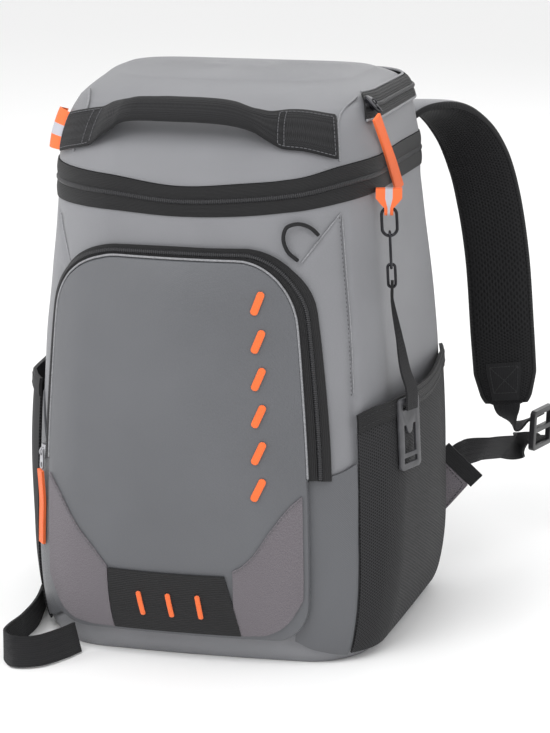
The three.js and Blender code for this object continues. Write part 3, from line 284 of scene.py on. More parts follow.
def band_row(station):
    return smooth_row(band_rows, station - 10 if station > 5 else station)


def band_foot(station):
    return band_row(station)[1] * body_height


def band_top(station):
    return band_row(station)[2] * body_height


# %% [markdown]
# Most cloth pieces start as a flat grid, as cloth starts flat on the cutting table. The grid
# is a primitive whose corners are moved to where a rule lays them, and it keeps a UV map in
# metres, so that a weave has its true size wherever the cloth goes. Solidify then gives it
# its thickness.

# %% Cloth from a grid
def pick(obj):
    bpy.ops.object.select_all(action="DESELECT")
    obj.select_set(True)
    bpy.context.view_layer.objects.active = obj


@contextlib.contextmanager
def editing(obj, action="SELECT"):
    """Edit mode on one object, with all of its mesh selected or none of it."""
    pick(obj)
    bpy.ops.object.mode_set(mode="EDIT")
    bpy.ops.mesh.select_all(action=action)
    yield
    bpy.ops.object.mode_set(mode="OBJECT")


def apply_modifier(obj, kind, **settings):
    pick(obj)
    modifier = obj.modifiers.new(kind.lower(), kind)
    for key, value in settings.items():
        setattr(modifier, key, value)
    bpy.ops.object.modifier_apply(modifier=modifier.name)


def cloth(name, across, along, place, size=(1.0, 1.0), closed=False):
    """A grid of cells laid by place(s, t), with s and t from 0 to 1."""
    bpy.ops.object.select_all(action="DESELECT")
    bpy.ops.mesh.primitive_grid_add(x_subdivisions=across, y_subdivisions=along, size=1)
    piece = bpy.context.object
    piece.name = name
    piece.data.name = name
    spots = [(v.co.x + 0.5, v.co.y + 0.5) for v in piece.data.vertices]
    for vertex, (s, t) in zip(piece.data.vertices, spots):
        vertex.co = place(clamp(s), clamp(t))
    for loop, spot in zip(piece.data.loops, piece.data.uv_layers[0].data):
        s, t = spots[loop.vertex_index]
        spot.uv = (s * size[0], t * size[1])
    if closed:
        with editing(piece):
            bpy.ops.mesh.remove_doubles(threshold=0.00002)
    return piece


def thicken(piece, thickness, offset=0.0):
    apply_modifier(piece, "SOLIDIFY", thickness=thickness, offset=offset, use_even_offset=True)


def finish_piece(piece, material, replaced, angle=40):
    pick(piece)
    bpy.ops.object.shade_smooth_by_angle(angle=math.radians(angle), keep_sharp_edges=False)
    piece.data.materials.clear()
    piece.data.materials.append(material)
    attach(piece, "root")
    if replaced:
        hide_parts(*replaced)
    low = [min(v.co[k] for v in piece.data.vertices) for k in range(3)]
    high = [max(v.co[k] for v in piece.data.vertices) for k in range(3)]
    print(piece.name, "mm", [round(1000 * (b - a), 1) for a, b in zip(low, high)],
          "faces", len(piece.data.polygons))
    return piece


def sheet(name, across, along, place, size, thickness, material, replaced, offset=0):
    """A cloth with its thickness and finish."""
    piece = cloth(name, across, along, place, size)
    thicken(piece, thickness, offset)
    return finish_piece(piece, material, replaced)


# %% [markdown]
# Materials. Cloth is never one flat colour: threads catch the light, dirt and folds change
# the tone a little over a hand's width. Each finish is a Principled shader with a weave in
# its bump and a slow drift in its colour. The helpers below add the usual nodes.

# %% Material helpers
def shade(colour, share):
    return tuple(clamp(c * share) for c in colour)


class Finish:
    """A Principled material, with short names for the nodes that shape its look."""

    def __init__(self, name, colour, roughness, metallic=0.0, sheen=0.0, specular=0.5):
        self.material = bpy.data.materials.new(name)
        self.material.use_nodes = True
        self.tree = self.material.node_tree
        self.shader = self.tree.nodes["Principled BSDF"].inputs
        self.shader["Base Color"].default_value = (*colour, 1)
        self.shader["Roughness"].default_value = roughness
        self.shader["Metallic"].default_value = metallic
        self.shader["Specular IOR Level"].default_value = specular
        self.shader["Sheen Weight"].default_value = sheen
        self.shader["Sheen Roughness"].default_value = 0.4

    def node(self, kind, *inputs, **settings):
        """A new node, its first inputs set to numbers or linked to other nodes."""
        made = self.tree.nodes.new(kind)
        for key, value in settings.items():
            setattr(made, key, value)
        for socket, value in zip(made.inputs, inputs):
            if isinstance(value, bpy.types.NodeSocket):
                self.tree.links.new(value, socket)
            else:
                socket.default_value = value
        return made

    def math(self, operation, *values):
        return self.node("ShaderNodeMath", *values, operation=operation).outputs[0]

    def add(self, a, b):
        return self.math("ADD", a, b)

    def times(self, a, b):
        return self.math("MULTIPLY", a, b)

    def wave(self, value, length):
        """A ridge pattern of the given length in metres along a coordinate."""
        return self.math("SINE", self.times(value, 2 * math.pi / length))

    def own_map(self):
        """The piece's UV map in metres, then its first and its second coordinate."""
        uv = self.node("ShaderNodeUVMap").outputs["UV"]
        x, y, _ = self.node("ShaderNodeSeparateXYZ", uv).outputs
        return uv, x, y

    def place(self):
        return self.node("ShaderNodeTexCoord").outputs["Object"]

    def scaled(self, out, x, y):
        return self.node("ShaderNodeVectorMath", out, (x, y, 1), operation="MULTIPLY").outputs[0]

    def noise(self, vector, scale, detail=2.0):
        made = self.node("ShaderNodeTexNoise", vector)
        made.inputs["Scale"].default_value = scale
        made.inputs["Detail"].default_value = detail
        return made.outputs["Fac"]

    def bump(self, height, distance, strength, under=None):
        made = self.node("ShaderNodeBump")
        made.inputs["Distance"].default_value = distance
        made.inputs["Strength"].default_value = strength
        self.tree.links.new(height, made.inputs["Height"])
        if under is not None:
            self.tree.links.new(under, made.inputs["Normal"])
        return made.outputs[0]

    def done(self, tone, stops, relief):
        """The material, coloured by a ramp of (place, colour) stops and embossed with relief."""
        made = self.node("ShaderNodeValToRGB", tone)
        ramp = made.color_ramp
        for k, (place, colour) in enumerate(stops):
            stop = ramp.elements[k] if k < 2 else ramp.elements.new(place)
            stop.position = place
            stop.color = (*colour, 1)
        self.tree.links.new(made.outputs[0], self.shader["Base Color"])
        self.tree.links.new(relief, self.shader["Normal"])
        return self.material


# %% [markdown]
# Coated twill for the body and the lid: mid grey with a slight satin shine. The threads of a
# twill run at a slant, so two sets of fine slanted ridges cross at half a millimetre.

# %% Nylon
def nylon(name, colour, roughness, thread=0.0009):
    g = Finish(name, colour, roughness, sheen=0.05)
    uv, x, y = g.own_map()
    place = g.place()
    slant = g.wave(g.add(x, g.times(y, 0.8)), thread)
    weave = g.add(slant, g.times(g.wave(y, thread * 0.7), 0.6))
    fleck = g.noise(g.scaled(uv, 1, 2.2), 900)
    tone = g.add(g.times(g.noise(place, 9, 3), 0.55), g.times(fleck, 0.45))
    creases = g.bump(g.noise(place, 26, 3), 0.0012, 0.35)
    return g.done(tone, [(0.35, shade(colour, 0.9)), (0.65, shade(colour, 1.1))],
                  g.bump(weave, 0.00008, 0.6, creases))


grey_nylon = nylon("grey_nylon", (0.2, 0.202, 0.215), 0.44)
pocket_nylon = nylon("pocket_nylon", (0.098, 0.101, 0.11), 0.4, 0.0011)

# %% [markdown]
# Heather cloth for the reinforced corners: a rough purple-grey weave in which light and dark
# yarns are mixed, so the colour is a fine speckle.

# %% Heather cloth
def heather(name, dark, light):
    g = Finish(name, dark, 0.9, sheen=0.08, specular=0.2)
    uv, x, y = g.own_map()
    weave = g.times(g.wave(x, 0.0011), g.wave(y, 0.0011))
    yarns = g.add(g.times(g.noise(g.scaled(uv, 1, 0.5), 1700, 3), 0.7),
                  g.times(g.noise(g.scaled(uv, 0.5, 1), 1700, 3), 0.3))
    return g.done(yarns, [(0.4, dark), (0.62, light)], g.bump(weave, 0.00015, 0.8))


speckled_cloth = heather("speckled_cloth", (0.115, 0.103, 0.115), (0.23, 0.213, 0.23))

# %% [markdown]
# Webbing and tape: black polyester woven in ribs. On webbing a herringbone of slanted ribs
# shows, on zip tape fine lines run along it. Both follow the strip's own UV map.

# %% Webbing and tape
def webbing(name, colour, rib=0.0013):
    g = Finish(name, colour, 0.7, sheen=0.04, specular=0.25)
    uv, x, y = g.own_map()
    zigzag = g.math("PINGPONG", x, rib * 2)
    slant = g.wave(g.add(y, g.times(zigzag, 0.9)), rib)
    weave = g.add(g.times(slant, 0.7), g.times(g.wave(x, rib * 1.25), 0.45))
    ribs = g.add(g.times(weave, 0.22), 0.5)
    tone = g.add(g.times(ribs, 0.6), g.times(g.noise(uv, 1400), 0.4))
    return g.done(tone, [(0.3, shade(colour, 0.5)), (0.7, shade(colour, 2.4))],
                  g.bump(weave, 0.00025, 0.9))


def ribbed_tape(name, colour):
    g = Finish(name, colour, 0.6, sheen=0.03, specular=0.3)
    uv, x, y = g.own_map()
    weave = g.add(g.wave(y, 0.0015), g.times(g.wave(x, 0.0008), 0.35))
    tone = g.add(g.times(weave, 0.12), g.noise(uv, 1500))
    return g.done(tone, [(0.3, shade(colour, 0.5)), (0.75, shade(colour, 2.3))],
                  g.bump(weave, 0.0002, 0.8))


black_webbing = webbing("black_webbing", (0.011, 0.011, 0.012))
black_tape = ribbed_tape("black_tape", (0.0085, 0.0085, 0.0092))

# %% [markdown]
# Open knitted mesh: black, with rows of small round holes, offset from row to row. Three
# cosine waves, a third of a half turn apart, give a honeycomb of dots at their true size.

# %% Mesh cloth
def honeycomb(name, dark, light, pitch):
    g = Finish(name, light, 0.75, sheen=0.03, specular=0.25)
    _, x, y = g.own_map()
    dots = 1.5
    for angle in (0, math.pi / 3, 2 * math.pi / 3):
        along = g.add(g.times(x, math.cos(angle)), g.times(y, math.sin(angle)))
        dots = g.add(g.math("COSINE", g.times(along, 4 * math.pi / (math.sqrt(3) * pitch))), dots)
    holes = g.times(dots, 1 / 4.5)
    return g.done(holes, [(0.35, light), (0.62, dark)],
                  g.bump(g.math("SUBTRACT", 1.0, holes), 0.0006, 0.9))


black_mesh = honeycomb("black_mesh", (0.002, 0.002, 0.0025), (0.01, 0.01, 0.011), 0.003)
pocket_net = honeycomb("pocket_net", (0.002, 0.002, 0.0025), (0.028, 0.028, 0.03), 0.0024)

# %% [markdown]
# The small parts: orange woven tape, dark glossy metal for the zip sliders and the chain,
# semi-gloss moulded plastic for the adjusters, and grey plastic for the opener. Thread and
# piping are plain, with a little grain. The light piping grey is also laid on the cords along
# the shell's seams, where it is a painted highlight.

# %% Trim, metal, plastic and thread
trim_orange = (0.92, 0.17, 0.045)


def woven_trim(name, colour):
    g = Finish(name, colour, 0.75, sheen=0.2, specular=0.3)
    _, x, y = g.own_map()
    weave = g.times(g.wave(x, 0.0011), g.wave(y, 0.0009))
    tone = g.add(g.times(weave, 0.2), 0.5)
    return g.done(tone, [(0.3, shade(colour, 0.82)), (0.7, shade(colour, 1.1))],
                  g.bump(weave, 0.0002, 0.7))


def hard_finish(name, colour, roughness, metallic, grain):
    g = Finish(name, colour, roughness, metallic=metallic)
    place = g.place()
    return g.done(g.noise(place, 120, 3), [(0.35, shade(colour, 0.85)), (0.7, shade(colour, 1.25))],
                  g.bump(g.noise(place, grain), 0.00005, 0.4))


def plain_finish(name, colour, roughness):
    g = Finish(name, colour, roughness, specular=0.3)
    place = g.place()
    return g.done(g.noise(place, 900), [(0.35, shade(colour, 0.8)), (0.7, shade(colour, 1.25))],
                  g.bump(g.noise(place, 1440), 0.0001, 0.5))


orange_trim = woven_trim("orange_trim", trim_orange)
dark_metal = hard_finish("dark_metal", (0.03, 0.03, 0.034), 0.2, 0.85, 900)
silver_metal = hard_finish("silver_metal", (0.42, 0.42, 0.44), 0.3, 0.95, 900)
black_plastic = hard_finish("black_plastic", (0.02, 0.02, 0.022), 0.32, 0.0, 1400)
opener_plastic = hard_finish("opener_plastic", (0.05, 0.05, 0.055), 0.34, 0.0, 1600)
grey_thread = plain_finish("grey_thread", (0.11, 0.11, 0.118), 0.6)
black_thread = plain_finish("black_thread", (0.03, 0.03, 0.032), 0.55)
# Light grey of the real piping, and a painted highlight where it colours the shell's seam cords.
grey_piping_and_seam_highlight = plain_finish("grey_piping_and_seam_highlight", (0.24, 0.242, 0.254), 0.5)

# %% [markdown]
# The padded body is one grid that starts at the middle of the base, runs out to the edge and
# up the wall to the rim. Its two upright sides meet at the back and are merged. The cloth
# isn't a perfect surface: it swells a little between its seams and pulls in along them.

# %% Body
def slack(station, z, size=0.0012):
    """Slow swells of padded cloth, in metres."""
    spot = wall_point(station, z) * 11
    return size * noise.noise(spot) + 0.35 * size * noise.noise(spot * 2.7)


def seam_pull(station, z, lines, width=0.006, depth=0.0016, pucker=0.0006):
    """How far the cloth pulls in at the nearest seam line, each a list of (station, height)."""
    nearest = 1.0
    for line in lines:
        for (u0, z0), (u1, z1) in zip(line, line[1:]):
            ax, ay = (u1 - u0) * station_size, z1 - z0
            px, py = (station - u0) * station_size, z - z0
            share = clamp((px * ax + py * ay) / (ax * ax + ay * ay + 1e-12))
            nearest = min(nearest, math.hypot(px - share * ax, py - share * ay))
    ripple = pucker * noise.noise(Vector((station * 9, z * 95, 0)))
    return depth * (1 - ease(nearest / width)) + ripple * (1 - ease(nearest / (4 * width)))


body_seams = [
    [(1.46, 0.358), (1.46, 0.2), (1.46, 0.0)],
    [(1.45, 0.356), (1.08, 0.318)],
    [(-1.67, 0.342), (-1.35, 0.302)],
    [(0.98, 0.14), (1.18, 0.148), (1.46, 0.158)],
    [(0.85, 0.02), (1.05, 0.012), (1.62, 0.001)],
    [(-1.38, 0.026), (-1.75, 0.01)],
    [(-1.5, 0.3), (-1.75, 0.01)],
]


def body_place(s, t):
    station = mix(-5, 5, s)
    rim = band_foot(station) - seam_gap
    floor_share = 0.12
    if t < floor_share:
        edge = wall_point(station, 0)
        return Vector((edge.x * t / floor_share, edge.y * t / floor_share, 0))
    z = rim * ((t - floor_share) / (1 - floor_share)) ** 1.15
    fade = ease(z / 0.02) * ease((rim - z) / 0.012)
    lift = fade * (slack(station, z) - seam_pull(station, z, body_seams))
    return on_wall(station, z, lift, True)


body = cloth("body", 330, 138, body_place, (1.05, 0.38), closed=True)
thicken(body, padded_wall, -1)
finish_piece(body, grey_nylon, ["body_shell"])

# %% [markdown]
# The lid is made the same way, from its rim up and over to the crest. Its top edge is soft,
# so the whole of it is one smooth dome.

# %% Lid
def lid_place(s, t):
    station = mix(-5, 5, s)
    rim = band_top(station) + seam_gap
    dome_share = 0.62
    if t > dome_share:
        share = (1 - t) / (1 - dome_share)
        edge = wall_point(station, body_height)
        plan = plan_at(body_height)
        crest = Vector((0, (plan[1] + plan[2]) / 2, body_height))
        return crest + (edge - crest) * share + Vector((0, 0, 0.005 * (1 - share * share)))
    z = mix(rim, body_height, math.sin(t / dome_share * math.pi / 2))
    fade = ease((z - rim) / 0.01) * ease((body_height - z) / 0.006)
    level = z < rim + 0.002
    return on_wall(station, z, fade * slack(station, z, 0.001), level)


lid = cloth("lid", 260, 100, lid_place, (0.95, 0.2), closed=True)
crease_height = 0.428
with editing(lid, "DESELECT"):
    bpy.ops.mesh.select_mode(type="VERT")
for vertex in lid.data.vertices:
    vertex.select = vertex.co.z > crease_height
bpy.ops.object.mode_set(mode="EDIT")
bpy.ops.mesh.vertices_smooth(factor=0.5, repeat=30)
bpy.ops.object.mode_set(mode="OBJECT")
thicken(lid, padded_wall, -1)
finish_piece(lid, grey_nylon, ["lid_shell"])

# %% [markdown]
# The main zip: two ribbed tapes with the coil between them, round the front and sides. A
# cloth hinge closes the gap at the back. The tapes are wide grids with a rolled edge, so
# that the seam to the body reads as a fold.

# %% Main zip
zip_end = 3.7
tape_thickness = 0.002
coil_height = 0.004


def band_middle(station):
    return mix(band_foot(station), band_top(station), 0.5)


def band_strip(name, low, high, replaced):
    """A tape that runs from the height low(station) up to high(station)."""
    def place(s, t):
        station = mix(-zip_end, zip_end, s)
        z = mix(low(station), high(station), t)
        return on_wall(station, z, 0.0006 * math.sin(math.pi * t), True)
    sheet(name, 220, 8, place, (0.86, 0.015), tape_thickness, black_tape, [replaced])


band_strip("main_zip_lower", lambda u: band_foot(u) + 0.0002,
           lambda u: band_middle(u) - coil_height / 2, "main_zipper_lower")
band_strip("main_zip_upper", lambda u: band_middle(u) + coil_height / 2,
           lambda u: band_top(u) - 0.0002, "main_zipper_upper")

# %% [markdown]
# The front pocket's face is a rounded rectangle that swells from its edge to its middle. It
# is laid as a grid of rings from the middle out, then turned down to the body at its edge.

# %% Front pocket
pocket_middle = -0.2
pocket_half_span = 1.2
pocket_foot = 0.048 * body_height
pocket_top = 0.724 * body_height
pocket_half_height = (pocket_top - pocket_foot) / 2
pocket_centre = (pocket_top + pocket_foot) / 2
pocket_edge_lift = 0.008
pocket_bulge = 0.012
pocket_corners = [
    (1, -1, 0.22, 0.18), (1, 1, 0.46, 0.32), (-1, 1, 0.46, 0.32), (-1, -1, 0.3, 0.2),
]


def pocket_outline(share):
    """A point of the pocket's outline as shares of its half span and half height."""
    points = []
    steps = 12
    for corner, (across, up, wide, tall) in enumerate(pocket_corners):
        for i in range(steps + 1):
            angle = (corner - 1) * math.pi / 2 + math.pi / 2 * i / steps
            points.append((across * (1 - wide) + wide * math.cos(angle),
                           up * (1 - tall) + tall * math.sin(angle)))
    points.append(points[0])
    lengths = [0.0]
    for (a0, b0), (a1, b1) in zip(points, points[1:]):
        lengths.append(lengths[-1] + math.hypot((a1 - a0) * 0.1, (b1 - b0) * 0.15))
    target = share * lengths[-1]
    for k in range(len(points) - 1):
        if target <= lengths[k + 1] or k == len(points) - 2:
            part = clamp((target - lengths[k]) / max(1e-9, lengths[k + 1] - lengths[k]))
            return tuple(mix(a, b, part) for a, b in zip(points[k], points[k + 1]))


outline_steps = 240
outline_cache = [pocket_outline(k / outline_steps) for k in range(outline_steps + 1)]


def pocket_skin(u, z):
    """The lift of the pocket's cloth, with its slow swells, which die out at its edge."""
    a = clamp((u - pocket_middle) / pocket_half_span, -1, 1)
    b = clamp((z - pocket_centre) / pocket_half_height, -1, 1)
    bulge = pocket_edge_lift + pocket_bulge * (1 - a * a) * (1 - b ** 4)
    return bulge + 0.6 * slack(u, z) * (1 - a ** 6) * (1 - b ** 6)


def pocket_face(a, b, spread):
    u = pocket_middle + a * spread * pocket_half_span
    z = pocket_centre + b * spread * pocket_half_height
    return u, z, pocket_skin(u, z)


def pocket_place(s, t):
    a, b = outline_cache[outline_steps - round(s * outline_steps)]
    face_share, edge_spread = 0.86, 0.985
    if t <= face_share:
        return on_wall(*pocket_face(a, b, edge_spread * math.sin(t / face_share * math.pi / 2)))
    turn = (t - face_share) / (1 - face_share) * math.pi / 2
    u, z, lift = pocket_face(a, b, mix(edge_spread, 1.0, math.sin(turn)))
    return on_wall(u, z, mix(lift, lay_gap, 1 - math.cos(turn)))


pocket = cloth("pocket", outline_steps, 60, pocket_place, closed=True)
for loop in pocket.data.loops:
    spot = pocket.data.vertices[loop.vertex_index].co
    pocket.data.uv_layers[0].data[loop.index].uv = (spot.x, spot.z)
thicken(pocket, 0.002, -1)
finish_piece(pocket, pocket_nylon, ["front_pocket"])

# %% [markdown]
# Mesh side pockets with a broad elastic hem. The cloth bellies out between the hem and the
# base, and pulls in at its side seams.

# %% Side pockets
side_pocket_top = 0.452 * body_height
side_pocket_bulge = 0.011
hem_height = 0.014
mesh_thickness = 0.0016
side_pocket_rows = [
    (1.47, 0.0, 0.0), (1.68, 0.012, 0.45), (2.03, 0.017, 0.9), (2.45, 0.01, 1.0),
    (2.7, 0.013, 0.75), (2.95, 0.017, 0.28), (3.1, 0.019, 0.1), (3.25, 0.02, 0.0),
]
side_pocket_end = 3.25
side_pockets = {"right": (1, 1.47), "left": (-1, 1.86)}
mesh_gap = 1.6 * lay_gap


def hem_top(u):
    return side_pocket_top + smooth_row(side_pocket_rows, abs(u))[1] * body_height


def side_bulge(u, start):
    """How far a side pocket stands off the wall, which fades out at its front seam."""
    bulge = max(0, smooth_row(side_pocket_rows, abs(u))[2]) * side_pocket_bulge
    return min(1, (abs(u) - start) / 0.25) * bulge


def hem_lift(u, start):
    return mesh_gap + side_bulge(u, start) * 0.97


def side_pocket(name, side, start):
    def belly(s, t):
        u = side * mix(start, side_pocket_end, s)
        z = mix(0.02 * body_height, hem_top(u) - hem_height - 2 * seam_gap, t)
        lift = mesh_gap + side_bulge(u, start) * min(1, math.sin(math.pi * (0.02 + 0.58 * t)))
        return on_wall(u, z, lift + mesh_thickness / 2)

    def hem(s, t):
        u = side * mix(start, side_pocket_end, s)
        z = mix(hem_top(u) - hem_height, hem_top(u), t)
        return on_wall(u, z, hem_lift(u, start) + 0.0013 + 0.0005 * math.sin(math.pi * t))

    sheet(f"side_mesh_{name}", 90, 70, belly, (0.2, 0.17), mesh_thickness, pocket_net,
          [f"side_pocket_{name}"])
    sheet(f"side_hem_{name}", 90, 8, hem, (0.2, hem_height), 0.0026, black_tape,
          [f"side_pocket_hem_{name}"])


for name, (side, start) in side_pockets.items():
    side_pocket(name, side, start)

# %% [markdown]
# Straps and webbing follow smooth routes through a few points, each with the direction of
# the strip's width. The curve leaves each point in the direction of its neighbours.

# %% Strips along a route
def curve_point(points, t):
    """A point of the smooth curve through the points, at t from 0 to 1."""
    last = len(points) - 1
    spot = min(int(t * last), last - 1)
    w = t * last - spot
    b, c = points[spot], points[spot + 1]
    a = points[spot - 1] if spot > 0 else 2 * b - c
    d = points[spot + 2] if spot + 2 <= last else 2 * c - b
    ab, bc, cd = [max(1e-5, (q - p).length) ** 0.5 for p, q in ((a, b), (b, c), (c, d))]
    start = ((b - a) / ab - (c - a) / (ab + bc) + (c - b) / bc) * bc
    end = ((c - b) / bc - (d - b) / (bc + cd) + (d - c) / cd) * bc
    return (b + start * w + (3 * (c - b) - 2 * start - end) * w * w
            + (2 * (b - c) + start + end) * w ** 3)


def strip_frame(route, t):
    """The centre, width direction, face direction, and width and thickness shares at t."""
    points = [row["at"] for row in route]
    centre = curve_point(points, t)
    ahead, behind = min(1, t + 0.001), max(0, t - 0.001)
    tangent = (curve_point(points, ahead) - curve_point(points, behind)).normalized()
    place = t * (len(route) - 1)
    spot = min(int(place), len(route) - 2)
    share = place - spot
    a, b = route[spot], route[spot + 1]
    side = a["side"].lerp(b["side"], share)
    side = (side - tangent * side.dot(tangent)).normalized()
    face = tangent.cross(side)
    wide = mix(a.get("wide", 1), b.get("wide", 1), share)
    thick = mix(a.get("thick", 1), b.get("thick", 1), share)
    return centre, side, face, wide, thick


def route_length(route):
    points = [row["at"] for row in route]
    spots = [curve_point(points, k / 60) for k in range(61)]
    return sum((q - p).length for p, q in zip(spots, spots[1:]))


strap_width = 0.052
strap_thickness = 0.011
right_strap = [
    (0.27, 0.5385, 0.83, 1, 0, 0, 0.86, 0.6), (0.282, 0.571, 0.866, 1, -0.1, 0, 0.9, 0.7),
    (0.345, 0.67, 0.893, 0.85, -0.5, 0.05, 0.95, 0.8),
    (0.425, 0.755, 0.883, 0.85, -0.45, 0.15, 1, 1),
    (0.48, 0.82, 0.84, 0.92, -0.3, 0.2, 1, 1), (0.52, 0.865, 0.776, 0.97, -0.1, 0.2, 1, 1),
    (0.547, 0.885, 0.7, 1, 0, 0.1, 1, 1), (0.572, 0.9, 0.586, 1, 0, 0, 1, 1),
    (0.593, 0.88, 0.434, 1, 0, 0, 1, 1), (0.606, 0.845, 0.357, 1, 0, 0, 0.98, 1),
    (0.615, 0.82, 0.295, 1, 0, 0, 0.7, 0.6),
]
left_strap = [
    (0.24, 0.5385, 0.82, 1, 0, 0, 0.86, 0.6), (0.26, 0.58, 0.862, 1, -0.1, 0, 0.9, 0.7),
    (0.29, 0.67, 0.88, 0.95, -0.2, 0.05, 0.95, 0.8), (0.32, 0.76, 0.85, 0.97, -0.1, 0.1, 1, 1),
    (0.34, 0.83, 0.79, 1, 0, 0.08, 1, 1), (0.35, 0.87, 0.7, 1, 0, 0.04, 1, 1),
    (0.355, 0.88, 0.586, 1, 0, 0, 1, 1), (0.36, 0.86, 0.434, 1, 0, 0, 1, 1),
    (0.36, 0.83, 0.357, 1, 0, 0, 0.98, 1), (0.36, 0.8, 0.295, 1, 0, 0, 0.7, 0.6),
]


def strap_route(rows, side):
    return [{
        "at": Vector((side * out * back_width, back * body_depth, up * body_height)),
        "side": Vector((side * east, south, rise)),
        "wide": wide,
        "thick": thick,
    } for out, back, up, east, south, rise, wide, thick in rows]


# %% [markdown]
# A padded shoulder strap: foam between a grey outer face and a black mesh face on the
# wearer's side, with its edges sewn flat. A grid is rolled round an oval section and its
# ends are pinched to a line.

# %% Shoulder straps
def end_round(t, start=0.962, narrowest=0.62):
    """The share of a strap's width near its lower end, which is cut round."""
    run = clamp((t - start) / (1 - start))
    return mix(narrowest, 1.0, math.sqrt(1 - run * run))


def end_pinch(t):
    """The share of a strap's thickness near its ends."""
    return math.sqrt(clamp(min(t, 1 - t) / 0.02, 0.02, 1))


def padded_strap(name, rows, side):
    route = strap_route(rows, side)
    sides = 56

    def section(s):
        angle = 2 * math.pi * s
        return (swing(math.cos(angle), 0.6) * strap_width / 2,
                swing(math.sin(angle), 0.8) * strap_thickness / 2)

    def place(s, t):
        centre, across, face, wide, thick = strip_frame(route, t)
        x, y = section(s)
        return centre + across * (x * wide * end_round(t)) + face * (y * thick * end_pinch(t))

    pad = cloth(f"shoulder_pad_{name}", sides, 150, place, (1.0, route_length(route)), closed=True)
    around = [0.0]
    for k in range(sides):
        (x0, y0), (x1, y1) = section(k / sides), section((k + 1) / sides)
        around.append(around[-1] + math.hypot(x1 - x0, y1 - y0))
    for spot in pad.data.uv_layers[0].data:
        spot.uv.x = around[round(spot.uv.x * sides)]
    with editing(pad, "DESELECT"):
        bpy.ops.mesh.select_mode(type="EDGE")
        bpy.ops.mesh.select_non_manifold(extend=False)
        bpy.ops.mesh.edge_face_add()
    finish_piece(pad, black_mesh, [f"shoulder_strap_{name}"])


straps = (("right", right_strap, 1), ("left", left_strap, -1))
for strap in straps:
    padded_strap(*strap)

# %% [markdown]
# The padded back panel lies against the wearer's back. Air channels are pressed between its
# cushions, so it isn't a plain slab.

# %% Back panel
back_pad_width, back_pad_length = 0.24, 0.39
back_pad_thickness, back_pad_edge = 0.011, 0.003


def back_place(s, t):
    station = mix(3.95, 6.05, s)
    z = mix(0.045, 0.925, t) * body_height
    roll = ease(min(min(s, 1 - s) * back_pad_width, min(t, 1 - t) * back_pad_length) / 0.012)
    level_channel = abs((t * 3) % 1 - 0.5) * back_pad_length / 3 if 0.1 < t < 0.9 else 1
    channel = min(abs(s - 0.5) * back_pad_width, level_channel)
    groove = 0.004 * (1 - ease(channel / 0.008))
    base = seam_gap + tape_thickness / 2 + back_pad_edge
    return on_wall(station, z, base + (back_pad_thickness - back_pad_edge - groove) * roll)


back_pad = sheet("back_pad", 96, 150, back_place, (back_pad_width, back_pad_length), 0.0028,
                 black_mesh, ["back_panel"], -1)

# %% [markdown]
# Piping, seam cords and stitches all follow lines on the bag's surface. A line is a short
# table of (station, height, lift), smoothed and cut into even steps, and each of its spots
# knows which way the surface faces there.

# %% Lines on the surface
def line_length(spots):
    return sum((b[0] - a[0]).length for a, b in zip(spots, spots[1:]))


def even_spots(spots, steps):
    """The same line cut into steps of equal length."""
    run = [0.0]
    for (a, _), (b, _) in zip(spots, spots[1:]):
        run.append(run[-1] + (b - a).length)
    even, k = [], 0
    for i in range(steps + 1):
        target = run[-1] * i / steps
        while k < len(run) - 2 and run[k + 1] < target:
            k += 1
        share = clamp((target - run[k]) / max(1e-9, run[k + 1] - run[k]))
        (a, face_a), (b, face_b) = spots[k], spots[k + 1]
        even.append((a.lerp(b, share), face_a.lerp(face_b, share).normalized()))
    return even


def surface_line(rows, steps=100, level=False):
    knots = [Vector((u * station_size, z, lift)) for u, z, lift in rows]
    spots = []
    for k in range(301):
        p = curve_point(knots, k / 300)
        u = p.x / station_size
        spots.append((on_wall(u, p.y, p.z, level), wall_normal(u, p.y, level)))
    return even_spots(spots, steps)


def recalculate(piece):
    with editing(piece):
        bpy.ops.mesh.normals_make_consistent(inside=False)


def sewn_cord(name, spots, radius, flat=1.0, sides=10):
    """A round or flattened cord along spots, its two ends closed to a tip."""
    last = len(spots) - 1

    def place(s, t):
        k = round(t * last)
        centre, face = spots[k]
        along = (spots[min(last, k + 1)][0] - spots[max(0, k - 1)][0]).normalized()
        across = along.cross(face).normalized()
        out = across.cross(along)
        tip = 0.0 if k in (0, last) else 1.0
        angle = -2 * math.pi * s
        return centre + (across * math.cos(angle) + out * (flat * math.sin(angle))) * (radius * tip)

    cord = cloth(name, sides, last, place, (2 * math.pi * radius, line_length(spots)), closed=True)
    recalculate(cord)
    return cord


# %% [markdown]
# Stitches are what makes sewn things look sewn. One stitch is a small bevelled block. It is
# copied along every line, each copy with its own mesh, and the copies are joined.

# %% Stitches
def stitches(name, lines, pitch, size, material):
    bpy.ops.object.select_all(action="DESELECT")
    bpy.ops.mesh.primitive_cube_add(size=1)
    model = bpy.context.object
    with editing(model):
        bpy.ops.transform.resize(value=size)
        bpy.ops.mesh.bevel(offset=size[2] * 0.3, segments=1)
    copies = []
    for spots in lines:
        cut = even_spots(spots, max(1, round(line_length(spots) / pitch)))
        for (a, face_a), (b, face_b) in zip(cut, cut[1:]):
            along = (b - a).normalized()
            across = (face_a + face_b).cross(along).normalized()
            matrix = Matrix((along, across, along.cross(across))).transposed().to_4x4()
            matrix.translation = (a + b) / 2
            copy = bpy.data.objects.new(name, model.data.copy())
            copy.data.transform(matrix)
            bpy.context.collection.objects.link(copy)
            copies.append(copy)
    bpy.data.objects.remove(model)
    bpy.ops.object.select_all(action="DESELECT")
    for copy in copies:
        copy.select_set(True)
    bpy.context.view_layer.objects.active = copies[0]
    bpy.ops.object.join()
    joined = bpy.context.object
    joined.name = name
    finish_piece(joined, material, [])


stitch_size = (0.0024, 0.0006, 0.0005)
small_stitch = (0.0022, 0.0005, 0.0004)
stitch_pitch = 0.0036
